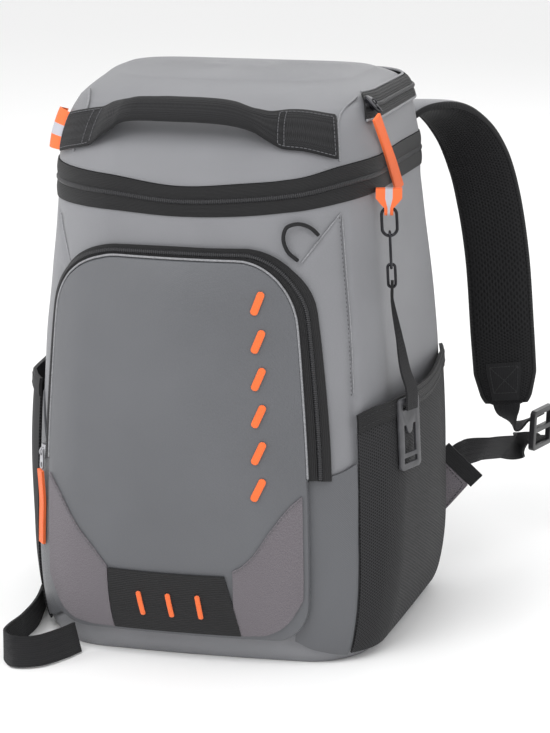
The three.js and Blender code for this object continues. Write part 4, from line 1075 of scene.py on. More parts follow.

# %% [markdown]
# The seams of the grey shell are shown by a narrow turned edge, a slim cord sunk in the seam
# whose lighter piping grey is a painted highlight along the fold, and a row of tone-on-tone
# stitches beside it. Along the lid's gussets a light piping is sewn in.

# %% Shell seams with their painted highlight, and lid piping
seam_lift = -0.0006
shell_seams = {
    "seam_highlight_right": [(1.46, 0.352), (1.47, 0.3), (1.475, 0.26), (1.47, 0.214)],
    "seam_highlight_shoulder_right": [(1.45, 0.354), (1.27, 0.337), (1.08, 0.318)],
    "seam_highlight_shoulder_left": [(-1.67, 0.342), (-1.5, 0.322), (-1.35, 0.302)],
    "seam_highlight_flank_left": [(-1.72, 0.35), (-1.76, 0.25), (-1.78, 0.2)],
}
# Each seam's cord, in the lighter piping grey, is a painted highlight along the seam's fold.
for name, rows in shell_seams.items():
    line = surface_line([(u, z, seam_lift) for u, z in rows], 60, True)
    finish_piece(sewn_cord(name, line, 0.0006, 0.6, 8), grey_piping_and_seam_highlight, [])
beside = surface_line([(u - 0.03, z, 0.0002) for u, z in shell_seams["seam_highlight_right"]], 60, True)
stitches("shell_stitches", [beside], 0.0034, (0.0016, 0.0004, 0.0004), black_thread)

lid_gusset = [
    (1.44, 0.392, 0.0003), (1.44, 0.408, 0.0004), (1.445, 0.42, 0.0006), (1.5, 0.427, 0.0008),
    (1.66, 0.4325, 0.001),
]
for name, turn in (("lid_piping_right", 1), ("lid_piping_left", -1)):
    rows = [(turn * u, z, lift) for u, z, lift in lid_gusset]
    finish_piece(sewn_cord(name, surface_line(rows, 70), 0.001), grey_piping_and_seam_highlight, [])

# %% [markdown]
# Below a slanting seam, the shell's two front corners are of the pocket's cooler cloth. Each
# is a thin sheet on the shell, between the pocket's edge and the corner seam.

# %% Corner panels
def corner_panel(name, rows):
    def place(s, t):
        u = mix(rows[0][0], rows[-1][0], s)
        _, low, high = smooth_row(rows, u)
        z = mix(low, high, t)
        return on_wall(u, z, 0.0011 + 0.6 * slack(u, z), True)
    sheet(name, 50, 60, place, (0.05, 0.14), 0.0012, pocket_nylon, [])


corner_panel("corner_panel_right", [
    (0.9, 0.02, 0.15), (1.05, 0.014, 0.151), (1.18, 0.011, 0.1535), (1.32, 0.008, 0.157),
    (1.455, 0.006, 0.162),
])
corner_panel("corner_panel_left", [
    (-1.74, 0.014, 0.2), (-1.62, 0.018, 0.17), (-1.5, 0.021, 0.15), (-1.38, 0.026, 0.14),
    (-1.28, 0.03, 0.13),
])

# %% [markdown]
# The coil runs between the two tapes of the main zip. Its teeth are finer than half a
# millimetre here, so they are a wave across a slim rounded cord, in the shader's bump.

# %% Zip coils
def coil_finish(name, colour):
    g = Finish(name, colour, 0.4, specular=0.45)
    _, _, y = g.own_map()
    teeth = g.wave(y, 0.0016)
    tone = g.add(g.times(teeth, 0.25), 0.5)
    return g.done(tone, [(0.3, shade(colour, 0.4)), (0.75, shade(colour, 2.2))],
                  g.bump(teeth, 0.0004, 1.0))


black_coil = coil_finish("black_coil", (0.016, 0.016, 0.018))
main_coil_spots = []
for k in range(401):
    u = mix(-zip_end, zip_end, k / 400)
    z = band_middle(u)
    main_coil_spots.append((on_wall(u, z, 0.0004, True), wall_normal(u, z, True)))
finish_piece(sewn_cord("main_coil", even_spots(main_coil_spots, 500), 0.0021, 0.75), black_coil,
             ["main_zipper_coil"])


def hinge_place(s, t):
    u = mix(3.71, 6.29, s)
    z = mix(band_foot(u) + 0.0003, band_top(u) - 0.0003, t)
    return on_wall(u, z, -0.0004 + 0.0006 * math.sin(math.pi * t), True)


sheet("hinge", 120, 10, hinge_place, (0.3, 0.026), 0.0018, grey_nylon, ["lid_hinge"])

# %% [markdown]
# A second zip curves along the lid's upper edge on the wearer's right. It is a slim ribbed
# tape with its coil in the middle, held in by piping.

# %% Lid zip
lid_zip_from, lid_zip_to = 1.72, 4.3
lid_zip_low = 0.945 * body_height
lid_zip_height = 0.015
lid_tape_lift = 1.6 * lay_gap + 0.001


def lid_zip_spot(station, share, lift):
    return on_wall(station, lid_zip_low + lid_zip_height * share, lid_tape_lift + lift)


def lid_tape_place(s, t):
    return lid_zip_spot(mix(lid_zip_from, lid_zip_to, s), t, 0.0005 * math.sin(math.pi * t))


sheet("lid_zip_tape", 140, 8, lid_tape_place, (0.3, lid_zip_height), 0.002, black_tape,
      ["lid_zipper"])


def lid_zip_line(share, lift):
    stations = [mix(lid_zip_from, lid_zip_to, k / 200) for k in range(201)]
    spots = [(lid_zip_spot(u, share, lift), wall_normal(u, lid_zip_low)) for u in stations]
    return even_spots(spots, 200)


finish_piece(sewn_cord("lid_coil", lid_zip_line(0.5, 0.0016), 0.0018, 0.8), black_coil, [])
for label, share, radius in (("low", -0.06, 0.0012), ("high", 1.06, 0.0011)):
    piping = sewn_cord(f"lid_zip_piping_{label}", lid_zip_line(share, 0.0), radius)
    finish_piece(piping, grey_piping_and_seam_highlight, [])

# %% [markdown]
# The handle is one piece of wide black webbing. Its ends lie flat on the lid, and between
# them the webbing is folded round a cord into a rounded grip that stands off the lid.

# %% Handle
handle_width = 0.030
grip_width = 0.0105
grip_thickness = 0.008
grip_lift = 0.013
handle_rows = [
    (-1.66, 0.911, 0.9, 0, 0.22), (-1.5, 0.919, 0.87, 0, 0.22), (-1.22, 0.931, 0.8, 0.02, 0.28),
    (-1.08, 0.937, 0.6, 0.4, 0.6), (-0.92, 0.94, 0.38, 0.85, 0.78), (-0.4, 0.943, 0.36, 1, 0.8),
    (0, 0.943, 0.36, 1, 0.8), (0.42, 0.941, 0.36, 0.92, 0.8), (0.66, 0.937, 0.38, 0.7, 0.75),
    (0.82, 0.937, 0.56, 0.22, 0.5), (0.98, 0.937, 0.78, 0, 0.28), (1.15, 0.935, 0.84, 0, 0.24),
    (1.42, 0.923, 0.96, 0, 0.22),
]


def handle_spot(station, across, out):
    """A point of the handle: across from -1 to 1 over its width, out from 0 to 1 through it."""
    _, centre, wide, lift, thick = smooth_row(handle_rows, station)
    width = max(wide * handle_width, grip_width)
    z = centre * body_height + across * width / 2
    base = 2.2 * lay_gap + clamp(lift) * grip_lift
    return on_wall(station, z, base + out * thick * grip_thickness)


def handle_place(s, t):
    station = mix(handle_rows[0][0], handle_rows[-1][0], t)
    roundness = clamp(smooth_row(handle_rows, station)[4])
    angle = 2 * math.pi * s
    power = mix(0.25, 0.85, roundness)
    x, y = swing(math.cos(angle), power), swing(math.sin(angle), power)
    tip = 0.0 if t in (0.0, 1.0) else 1.0
    return handle_spot(station, x * mix(0.94, 1.0, tip), 0.5 + 0.5 * y * tip)


handle = cloth("handle", 36, 180, handle_place, (0.06, 0.26), closed=True)
recalculate(handle)
finish_piece(handle, black_webbing, ["carry_handle"])


def handle_line(u0, u1, across0, across1):
    """A line on the handle's outer face, from one station and share of its width to another."""
    spots = []
    for k in range(41):
        u = mix(u0, u1, k / 40)
        spots.append((handle_spot(u, mix(across0, across1, k / 40), 1.06), wall_normal(u, 0.41)))
    return spots


handle_stitch_lines = [handle_line(u, u, -0.85, 0.85)
                       for u in (-1.63, -1.3, -1.22, 1.39, 1.0, 0.93)]
handle_stitch_lines += [handle_line(u0, u1, across, across)
                        for u0, u1 in ((-1.63, -1.24), (0.93, 1.39)) for across in (0.86, -0.86)]
stitches("handle_stitches", handle_stitch_lines, 0.0032, stitch_size, grey_thread)

# %% [markdown]
# The pocket's zip goes up one side of the pocket, over its top and down the other side. The
# tape slopes from the pocket's face down to the wall, broad on the right and narrow on the
# left, with the coil half way down the slope.

# %% Pocket zip
pocket_zip_width = 0.017
pocket_zip_steps = 260
pocket_zip_route = [(1, -0.12)] + [p for p in outline_cache[:-1] if p[1] > -0.07] + [(-1, -0.12)]
pocket_zip_route.sort(key=lambda p: -math.atan2(p[0], p[1] + 0.3))


def pocket_zip_spot(a, b, share, lift):
    per_station = plan_at(pocket_centre)[7]
    right = 1 if a > 0 else 0.45
    width = pocket_zip_width * mix(0.44, right, abs(a) ** 3)
    size = math.hypot(a, b)
    distance = 0.0006 + width * share
    u = pocket_middle + a * pocket_half_span + a / size / per_station * distance
    z = pocket_centre + b * pocket_half_height + b / size * distance
    drop = mix(pocket_edge_lift * 0.72, lay_gap + 0.0012, share)
    return on_wall(u, z, drop + lift), wall_normal(u, z)


def pocket_zip_line(share, lift):
    spots = [pocket_zip_spot(a, b, share, lift) for a, b in pocket_zip_route]
    return even_spots(spots, pocket_zip_steps)


zip_inner = pocket_zip_line(0.0, 0.0)
zip_outer = pocket_zip_line(1.0, 0.0)


def pocket_zip_place(s, t):
    k = round(s * pocket_zip_steps)
    (inner, face), (outer, _) = zip_inner[k], zip_outer[k]
    return inner.lerp(outer, t) + face * (0.0012 * math.sin(math.pi * t))


pocket_tape = cloth("pocket_zip_tape", pocket_zip_steps, 12, pocket_zip_place,
                    (0.75, pocket_zip_width))
thicken(pocket_tape, 0.002, 0)
recalculate(pocket_tape)
finish_piece(pocket_tape, black_tape, ["pocket_zipper"])
finish_piece(sewn_cord("pocket_coil", pocket_zip_line(0.5, 0.0022), 0.0017, 0.8), black_coil, [])
finish_piece(sewn_cord("pocket_rim", pocket_zip_line(-0.04, 0.0016), 0.0009), grey_piping_and_seam_highlight, [])

# %% [markdown]
# Two heather corners, a black patch and the orange bars are sewn flat onto the pocket's
# face. They use the same swell as the face, so they lie on it with an even gap.

# %% Panels on the pocket
def pocket_corner(name, rows):
    def place(s, t):
        u = mix(rows[0][0], rows[-1][0], s)
        _, low, high = smooth_row(rows, u)
        z = mix(low, high, t) * body_height
        return on_wall(u, z, pocket_skin(u, z) + seam_gap + 0.0006)
    sheet(f"corner_cloth_{name}", 70, 60, place, (0.09, 0.11), 0.0012, speckled_cloth,
          [f"pocket_side_panel_{name}"])


pocket_corner_rows = {
    "right": [(0.35, 0.06, 0.182), (0.42, 0.06, 0.19), (0.52, 0.061, 0.21), (0.68, 0.066, 0.258),
              (0.84, 0.09, 0.299), (0.95, 0.13, 0.318)],
    "left": [(-1.35, 0.14, 0.324), (-1.22, 0.083, 0.296), (-1.02, 0.062, 0.235),
             (-0.88, 0.06, 0.203), (-0.76, 0.06, 0.174)],
}
for name, rows in pocket_corner_rows.items():
    pocket_corner(name, rows)


def patch_place(s, t):
    u = mix(-0.75, mix(0.42, 0.28, t), s)
    z = mix(0.06, 0.172, t) * body_height
    return on_wall(u, z, pocket_skin(u, z) + seam_gap + 0.0011)


sheet("pocket_patch_cloth", 70, 40, patch_place, (0.09, 0.05), 0.0014, black_tape,
      ["pocket_patch"])
stitch_lift = 0.0018


def pocket_line(rows, lift=stitch_lift, steps=60):
    return surface_line([(u, z, pocket_skin(u, z) + lift) for u, z in rows], steps)


corner_edges = [pocket_line([(u, high * body_height - 0.0016) for u, _, high in rows])
                for rows in pocket_corner_rows.values()]
stitches("corner_stitches", corner_edges, stitch_pitch, small_stitch, grey_thread)
stitches("patch_stitches", [
    pocket_line([(-0.74, 0.0735), (-0.2, 0.0735), (0.27, 0.0735)]),
    pocket_line([(-0.735, 0.03), (-0.735, 0.05), (-0.735, 0.0735)]),
    pocket_line([(0.39, 0.03), (0.34, 0.05), (0.27, 0.0735)]),
], stitch_pitch, small_stitch, black_thread)

# %% [markdown]
# Each orange bar is a flat loop of tape with rounded ends: three stand on the patch, and a
# column of slanted ones decorates the pocket's right half.

# %% Orange bars
def orange_bar(name, node, start, end, wide, thick, under):
    rows = [(mix(start[0], end[0], k / 2), mix(start[1], end[1], k / 2)) for k in range(3)]
    spots = pocket_line(rows, under + thick / 2, 24)
    last = len(spots) - 1

    def place(s, t):
        k = round(t * last)
        centre, face = spots[k]
        along = (spots[min(last, k + 1)][0] - spots[max(0, k - 1)][0]).normalized()
        across = along.cross(face).normalized()
        run = min(k, last - k) / last * line_length(spots)
        tip = math.sqrt(clamp(1 - (1 - min(1.0, run / (wide / 2))) ** 2))
        angle = -2 * math.pi * s
        x, y = swing(math.cos(angle), 0.5), swing(math.sin(angle), 0.5)
        return centre + across * (x * tip * wide / 2) + face * (y * min(1, 3 * tip) * thick / 2)

    bar = cloth(name, 16, last, place, (2 * wide, line_length(spots)), closed=True)
    recalculate(bar)
    finish_piece(bar, orange_trim, [node])


patch_bars = 3
for i in range(patch_bars):
    top = mix(-0.48, 0.04, i / (patch_bars - 1))
    orange_bar(f"orange_patch_bar_{i + 1}", f"patch_bar_{i + 1}", (top + 0.03, 0.09 * body_height),
               (top, 0.136 * body_height), 0.004, 0.0016, 0.0018)
accent_bars = 6
for i in range(accent_bars):
    share = i / (accent_bars - 1)
    low = mix(0.31, 0.635, share)
    start = mix(0.53, 0.59, share)
    orange_bar(f"orange_accent_bar_{i + 1}", f"accent_bar_{i + 1}", (start, low * body_height),
               (start + 0.1, (low + 0.04) * body_height), 0.006, 0.0008, 0.0006)

# %% [markdown]
# The elastic loop on the front's upper right is a round black cord whose two ends go into a
# seam. The side pockets' hems get two rows of stitches each.

# %% Elastic loop and hem stitches
loop_rows = [(1.24, 0.766, 0), (1.17, 0.781, 0.001), (1.08, 0.788, 0.0016), (0.98, 0.781, 0.0016),
             (0.94, 0.762, 0.0016), (0.97, 0.742, 0.001), (1.06, 0.724, 0)]
loop_line = surface_line([(u, up * body_height, lift + 0.0021) for u, up, lift in loop_rows], 70)
elastic_loop = sewn_cord("elastic_loop", loop_line, 0.0015, 1.0, 12)
finish_piece(elastic_loop, black_webbing, ["cord_loop"])


def hem_line(side, start, share):
    rows = []
    for k in range(13):
        u = mix(start + 0.03, side_pocket_end - 0.03, k / 12)
        rows.append((side * u, hem_top(u) - hem_height * share, hem_lift(u, start) + 0.0031))
    return surface_line(rows, 90)


stitches("hem_stitches", [hem_line(side, start, share) for side, start in side_pockets.values()
                          for share in (0.25, 0.75)],
         0.004, (0.0026, 0.0006, 0.0005), black_thread)

# %% [markdown]
# Flat webbing isn't simulated: a remesh would eat such thin strips. Each strip is a grid
# laid along its route, thickened, with its weave following the route.

# %% Webbing along a route
web_thickness = 0.0018
lower_web_width = 0.024


def row(at, side, wide=1.0):
    return {"at": Vector(at), "side": Vector(side), "wide": wide}


def web(name, route, width, steps, replaced, material=black_webbing, thickness=web_thickness):
    def place(s, t):
        centre, side, _, wide, _ = strip_frame(route, t)
        return centre + side * ((s - 0.5) * wide * width)

    sheet(name, 8, steps, place, (width, route_length(route)), thickness, material, [replaced])


# %% [markdown]
# Below each padded strap comes the adjuster: the strap's short webbing end goes into its
# upper slot, and the long webbing from its lower slot runs to a cloth wing on the back
# corner, where its end is folded over and sewn.

# %% Adjuster webbing and wings
lock_length = 0.036
lock_bar = 0.0045
lock_slot = (lock_length - 3 * lock_bar) / 2
wing_reach = 0.038
wing_thickness = 0.003
fold_width = 0.014
right_web = {
    "lock": (0.030, 0.006, -0.020), "turned": (0.35, 0.94), "wing_top": 0.235, "turn": -1,
    "drop": [(0.0016, 0, -0.0095, 0.77, -0.63, -0.05, 1),
             (0.0073, 0.002, -0.019, 0.17, -0.97, -0.15, 0.85),
             (0.0204, 0.0063, -0.0134, -0.54, -0.83, -0.15, 0.82)],
    "way": [(0.6459, 0.8814, 0.204, -0.16, 0.53, 0.83), (0.6219, 0.7938, 0.213, 0.5, -0.05, 0.85),
            (0.5747, 0.6698, 0.226, 0.36, -0.26, 0.9), (0.5209, 0.6091, 0.2242, 0.21, 0.16, 0.96)],
}
left_web = {
    "lock": (0.001, 0.014, -0.026), "turned": (-1, 0), "wing_top": 0.235, "turn": 1,
    "drop": [(0.0004, 0, -0.0073, 1, 0.09, -0.03, 1),
             (0.0004, 0.0024, -0.0151, 0.99, 0.15, 0.04, 1)],
    "way": [(0.3641, 0.7909, 0.1995, 0.73, -0.47, 0.5), (0.4013, 0.7079, 0.2061, 0.37, -0.11, 0.92),
            (0.4647, 0.6426, 0.2124, 0.3, 0.24, 0.92)],
}


def strap_wing(side, name, wing_top):
    """The cloth wing, its folded webbing, and where the webbing meets it."""
    table = [(wing_top - 0.155, 0.06), (wing_top - 0.06, 1.0), (wing_top, 0.32)]
    outward = Vector((side * 0.98, 0.2, 0))
    through = Vector((side * -0.2, 0.98, 0))

    def spot(s, t, off=0.0):
        up, reach = row_at(table, mix(table[0][0], table[-1][0], t))
        root = on_wall(side * 3.72, up * body_height, 2 * seam_gap, True)
        return root + outward * (wing_reach * reach * s) + through * (wing_thickness / 2 + off)

    sheet(f"wing_{name}", 24, 64, spot, (0.04, 0.07), wing_thickness, speckled_cloth,
          [f"strap_wing_{name}"])
    rim, root = [[(spot(s, k / 40, -wing_thickness / 2 - 0.0002), -through) for k in range(2, last)]
                 for s, last in ((0.9, 40), (0.06, 39))]
    stitches(f"wing_stitches_{name}", [rim, root], stitch_pitch, (0.0022, 0.0006, 0.0005),
             black_thread)
    foot, head = table[0][0], table[-1][0]
    low, high = [spot(1.0, clamp((up - foot) / (head - foot))) for up, _ in table[1:]]
    fold_along = (high - low).normalized()
    upwards = Vector((0, 0, 1))
    clear = (upwards - fold_along * upwards.dot(fold_along)).normalized()
    low += clear * (fold_width / 2 + seam_gap)
    high += clear * (fold_width / 2 + seam_gap)
    middle = low.lerp(high, 0.5)
    web(f"fold_{name}", [row(low.lerp(high, -0.08), clear), row(middle, clear), row(high, clear)],
        fold_width, 24, f"web_fold_{name}", thickness=wing_thickness)
    return middle, fold_along, through


def strap_webbing(side, name, rows, plan):
    pad = strap_route(rows, side)
    before, end = pad[-2]["at"], pad[-1]["at"]
    onward = (end - before).normalized()
    out, back, drop = plan["lock"]
    centre = end + Vector((side * out, back, drop))
    along = Vector((side * plan["turned"][0], plan["turned"][1], 0)).normalized()
    up = Vector((0, -0.12, 1)).normalized()
    offset = (lock_slot + lock_bar) / 2
    upper, lower = centre + up * offset, centre - up * offset
    face_out = along.cross(up) * -side
    start = end - onward * 0.003
    web(f"strap_web_{name}", [row(start, (1, 0, 0))] + [
        row(end + Vector((x, y, z)), (east, south, rise), wide)
        for x, y, z, east, south, rise, wide in plan["drop"]
    ] + [row(upper + face_out * 0.001 + up * 0.0033, along * plan["turn"])],
        lower_web_width, 40, f"strap_end_{name}")
    fold, fold_along, through = strap_wing(side, name, plan["wing_top"])
    web(f"long_web_{name}", [
        row(lower + face_out * 0.001 - up * 0.0039, along),
        row(lower + face_out * 0.007 - up * 0.005, along),
    ] + [
        row((side * x * back_width, y * body_depth, z * body_height), (east, south, rise))
        for x, y, z, east, south, rise in plan["way"]
    ] + [
        row(fold + through * 0.012, fold_along),
        row(fold + through * (wing_thickness / 2 + 0.0006), fold_along),
    ],
        lower_web_width, 90, f"lower_web_{name}")
    return centre - up * (lock_length / 2 + 0.00075)


strap_webbing(1, "right", right_strap, right_web)
left_foot = strap_webbing(-1, "left", left_strap, left_web)

# %% [markdown]
# The left webbing's tail hangs from its adjuster, reaches the floor and stands on its edge
# along the bag's left side, with an open loop at the front corner.

# %% Webbing tail
tail_rows = [
    (-44, 0.862, 0.14, 0, 1), (-31, 0.8, 0.078, 0, 0.6), (-12, 0.68, 0.038, 0, 0.2),
    (4.5, 0.53, 0.0285, 0, 0), (12.9, 0.36, 0.0285, 0, 0), (13.2, 0.1, 0.0285, 0, 0),
    (13.7, -0.15, 0.0285, 0, 0), (11.2, -0.36, 0.0285, 0, 0), (15.7, -0.5, 0.0285, -0.2, 0),
    (21.6, -0.6, 0.0285, -0.3, 0), (20.1, -0.68, 0.0285, 0, 0), (9.9, -0.72, 0.0285, 0.35, 0),
    (-6.6, -0.7, 0.0285, 0.4, 0), (-23, -0.62, 0.0285, 0.4, 0), (-32.7, -0.55, 0.0285, 0.35, 0),
]
tail_floor = 0.0285 * body_height


def side_line(y, z):
    plan = plan_at(z)
    return plan[0] - (y - plan[1]) * plan[6] / plan[5]


tail_route = [row(left_foot, (-1, 0, 0)), row(left_foot + Vector((0, 0.001, -0.010)), (-1, 0, 0))]
for clear, fore, up, lean, twist in tail_rows:
    y = fore * body_depth
    upright = Vector((-lean * 0.5, lean, 1)).lerp(Vector((-1, 0, 0)), twist).normalized()
    tail_route.append(row((-side_line(y, tail_floor) - clear / 1000, y, up * body_height), upright))
web("tail", tail_route, lower_web_width, 240, "web_tail")

# %% [markdown]
# The tape loop on the right hangs from the zip band with the chain's ring in its fold. It is
# striped: orange, a silver reflective line, orange.

# %% Striped tape loops
def striped_tape(name, width, along_x):
    """Orange tape with a silver line between two shares of its width."""
    g = Finish(name, trim_orange, 0.6, specular=0.4)
    _, x, y = g.own_map()
    share = g.times(x if along_x else y, 1 / width)
    inside = g.times(g.math("GREATER_THAN", share, 0.36), g.math("LESS_THAN", share, 0.64))
    weave = g.times(g.wave(x, 0.0011), g.wave(y, 0.0009))
    silver = (0.46, 0.46, 0.51)
    return g.done(g.add(inside, g.times(weave, 0.06)),
                  [(0.0, shade(trim_orange, 0.95)), (0.3, trim_orange), (0.7, shade(silver, 0.85)),
                   (1.0, silver)],
                  g.bump(weave, 0.00015, 0.6))


tab_width = 0.020
left_tab_width = 0.026
tab_stripes = striped_tape("tab_stripes", tab_width, True)
tab_bands = striped_tape("tab_bands", left_tab_width, False)
hang_station, hang_lean = 1.79, 0.6
ring_length, ring_width, ring_wire = 0.024, 0.014, 0.0024
link_length, link_width, link_wire = 0.030, 0.009, 0.0022
swivel_length, swivel_width = 0.020, 0.008


def hang_frame(z, out):
    normal = wall_normal(hang_station, z, True)
    facing = (normal + wall_along(hang_station, z) * hang_lean).normalized()
    across = Vector((-facing.y, facing.x, 0))
    return wall_point(hang_station, z) + facing * out, facing, across


tab_top = band_foot(hang_station) + 0.004
tab_length = 0.017
tab_centre = 0.003 + tab_width / 2
fold_radius = ring_wire / 2 + seam_gap + web_thickness / 2
fold_drop = fold_radius + 0.003
bar_height = tab_top - tab_length + fold_radius
hang_origin, hang_facing, hang_across = hang_frame(bar_height, tab_centre)
up_axis = Vector((0, 0, 1))
leg = tab_length - fold_radius
right_tab = [row(hang_origin + up_axis * rise - hang_across * fold_radius, hang_facing)
             for rise in (leg, leg / 2)]
for i in range(7):
    angle = math.pi + math.pi * i / 6
    right_tab.append(row(hang_origin + hang_across * (fold_radius * math.cos(angle))
                         + up_axis * (fold_drop * math.sin(angle)), hang_facing, 0.34))
right_tab += [row(hang_origin + up_axis * rise + hang_across * fold_radius, hang_facing)
              for rise in (leg / 2, leg)]
web("tape_loop_right", right_tab, tab_width, 70, "loop_tab_right", tab_stripes)

left_stations = [(-1.68, 0), (-1.73, 0.55), (-1.78, 0.95), (-1.84, 1), (-1.89, 0.6), (-1.93, 0)]


def left_tab_place(s, t):
    place = s * (len(left_stations) - 1)
    k = min(int(place), len(left_stations) - 2)
    u = mix(left_stations[k][0], left_stations[k + 1][0], place - k)
    arch = math.sin(math.pi * s) ** 0.7
    z = 0.882 * body_height + left_tab_width * t
    return on_wall(u, z, lay_gap + 0.006 * arch + web_thickness / 2)


sheet("tape_loop_left", 40, 20, left_tab_place, (0.03, left_tab_width), web_thickness, tab_bands,
      ["loop_tab_left"])

# %% [markdown]
# The chain: a ring, a long link and a swivel of dark wire. Each is a torus whose upper half
# is moved up to stretch it, then set in its place below the tape loop.

# %% Chain
def fitting(origin, along, up):
    """A matrix whose first direction is along, whose second is up, and whose third faces out."""
    east = along.normalized()
    north = (up - east * up.dot(east)).normalized()
    matrix = Matrix((east, north, east.cross(north))).transposed().to_4x4()
    matrix.translation = origin
    return matrix


def wire_loop(name, length, width, wire, distance, along, replaced):
    radius = (width - wire) / 2
    straight = (length - width) / 2
    bpy.ops.object.select_all(action="DESELECT")
    bpy.ops.mesh.primitive_torus_add(major_radius=radius, minor_radius=wire / 2, major_segments=36,
                                     minor_segments=14)
    loop = bpy.context.object
    loop.name = name
    bpy.ops.object.mode_set(mode="EDIT")
    bpy.ops.mesh.select_mode(type="VERT")
    for half in (1, -1):
        bpy.ops.mesh.select_all(action="DESELECT")
        bpy.ops.object.mode_set(mode="OBJECT")
        for vertex in loop.data.vertices:
            vertex.select = half * vertex.co.y > 1e-6
        bpy.ops.object.mode_set(mode="EDIT")
        bpy.ops.transform.translate(value=(0, half * straight, 0))
    bpy.ops.object.mode_set(mode="OBJECT")
    loop.data.transform(fitting(below(distance), along, chain_rise))
    finish_piece(loop, dark_metal, [replaced], 60)


lower_origin = hang_frame(bar_height - 0.060, tab_centre)[0]
chain_rise = (hang_origin - lower_origin).normalized()
chain_out = (hang_facing - chain_rise * hang_facing.dot(chain_rise)).normalized()
chain_side = chain_rise.cross(chain_out)
play = 3 * seam_gap
ring_centre = (ring_length - ring_wire) / 2
link_centre = 2 * ring_centre + (link_length - link_wire) / 2 - ring_wire / 2 - link_wire / 2 - play
swivel_centre = link_centre + (link_length + swivel_length) / 2 - 2 * link_wire - play


def below(distance):
    return hang_origin - chain_rise * distance


wire_loop("wire_ring", ring_length, ring_width, ring_wire, ring_centre, chain_out, "chain_ring")
wire_loop("wire_link", link_length, link_width, link_wire, link_centre, chain_side, "chain_link")
wire_loop("wire_swivel", swivel_length, swivel_width, link_wire, swivel_centre, chain_out, "swivel")

# %% [markdown]
# The bottle opener hangs on a flat strip that narrows to go through the swivel's eye and
# widens to fill the opener's upper slot.

# %% Tether webbing
opener_length, opener_thickness = 0.057, 0.0024
opener_station, opener_facing = 1.97, 1.78
opener_z = 0.467 * body_height - opener_length / 2
opener_clear = 0.001 + 2 * seam_gap + opener_thickness / 2 + 0.0012
opener_lift = side_pocket_bulge + mesh_thickness + opener_clear
opener_along = wall_along(opener_facing, opener_z)
opener_rise = (wall_point(opener_station, opener_z + opener_length / 2)
               - wall_point(opener_station, opener_z - opener_length / 2)).normalized()
opener_origin = on_wall(opener_station, opener_z, opener_lift)
opener_face = opener_along.cross(opener_rise).normalized()
opener_slot, opener_margin = 0.0045, 0.005
slot_centre = opener_origin + opener_rise * (opener_length / 2 - opener_margin - opener_slot / 2)
eye = below(swivel_centre + (swivel_length - link_wire) / 2)
web_clear = web_thickness / 2 + opener_thickness / 2 + seam_gap
turn_radius = link_wire / 2 + seam_gap + web_thickness / 2
tether_route = [row(eye + chain_side * turn_radius - up_axis * 0.012, chain_out, 0.16)]
for i in range(5):
    angle = math.pi * i / 4
    turned = (chain_side * (turn_radius * math.cos(angle))
              + up_axis * ((turn_radius + 0.0023) * math.sin(angle)))
    tether_route.append(row(eye + turned, chain_out, 0.16))
tether_front = eye - chain_side * turn_radius - up_axis * 0.008
above_slot = slot_centre + opener_rise * (opener_slot / 2 + opener_margin + 0.006)
tether_route += [
    row(tether_front, chain_out, 0.16),
    row(tether_front.lerp(above_slot, 0.45), chain_out.lerp(opener_along, 0.6), 0.4),
    row(tether_front.lerp(above_slot, 0.8), opener_along, 0.85),
    row(above_slot + opener_face * web_clear, opener_along, 1),
    row(slot_centre - opener_rise * (opener_slot / 2) + opener_face * web_clear, opener_along, 1),
]
web("tether", tether_route, 0.014, 110, "tether_web")

# %% [markdown]
# Moulded and cast parts keep the frame's exact outline. A copy of each is merged into one
# mesh, its flat faces are joined, and every edge gets a small bevel, because no moulded edge
# is sharp: the bevel is what catches the light.

# %% Rounded copies of the hard parts
def rounded_copy(name, source_name, radius, material, segments=2):
    source = nodes[source_name]
    mesh = source.data.copy()
    mesh.transform(source.matrix_world)
    piece = bpy.data.objects.new(name, mesh)
    bpy.context.collection.objects.link(piece)
    with editing(piece):
        bpy.ops.mesh.remove_doubles(threshold=0.000005)
        bpy.ops.mesh.dissolve_limited(angle_limit=math.radians(1))
    apply_modifier(piece, "BEVEL", width=radius, segments=segments, limit_method="ANGLE",
                   angle_limit=math.radians(30))
    finish_piece(piece, material, [source_name], 50)


rounded_copy("opener_body", "bottle_opener", 0.0005, opener_plastic)
for name in ("right", "left"):
    rounded_copy(f"adjuster_{name}", f"ladder_lock_{name}", 0.0009, black_plastic,
                 3)

# %% [markdown]
# A zip slider is a small cast block, narrower towards the pull, with a bridge on top that
# holds the pull plate. Block and bridge start as a cube and a torus.

# %% Zip sliders
slider_width, slider_length = 0.008, 0.011


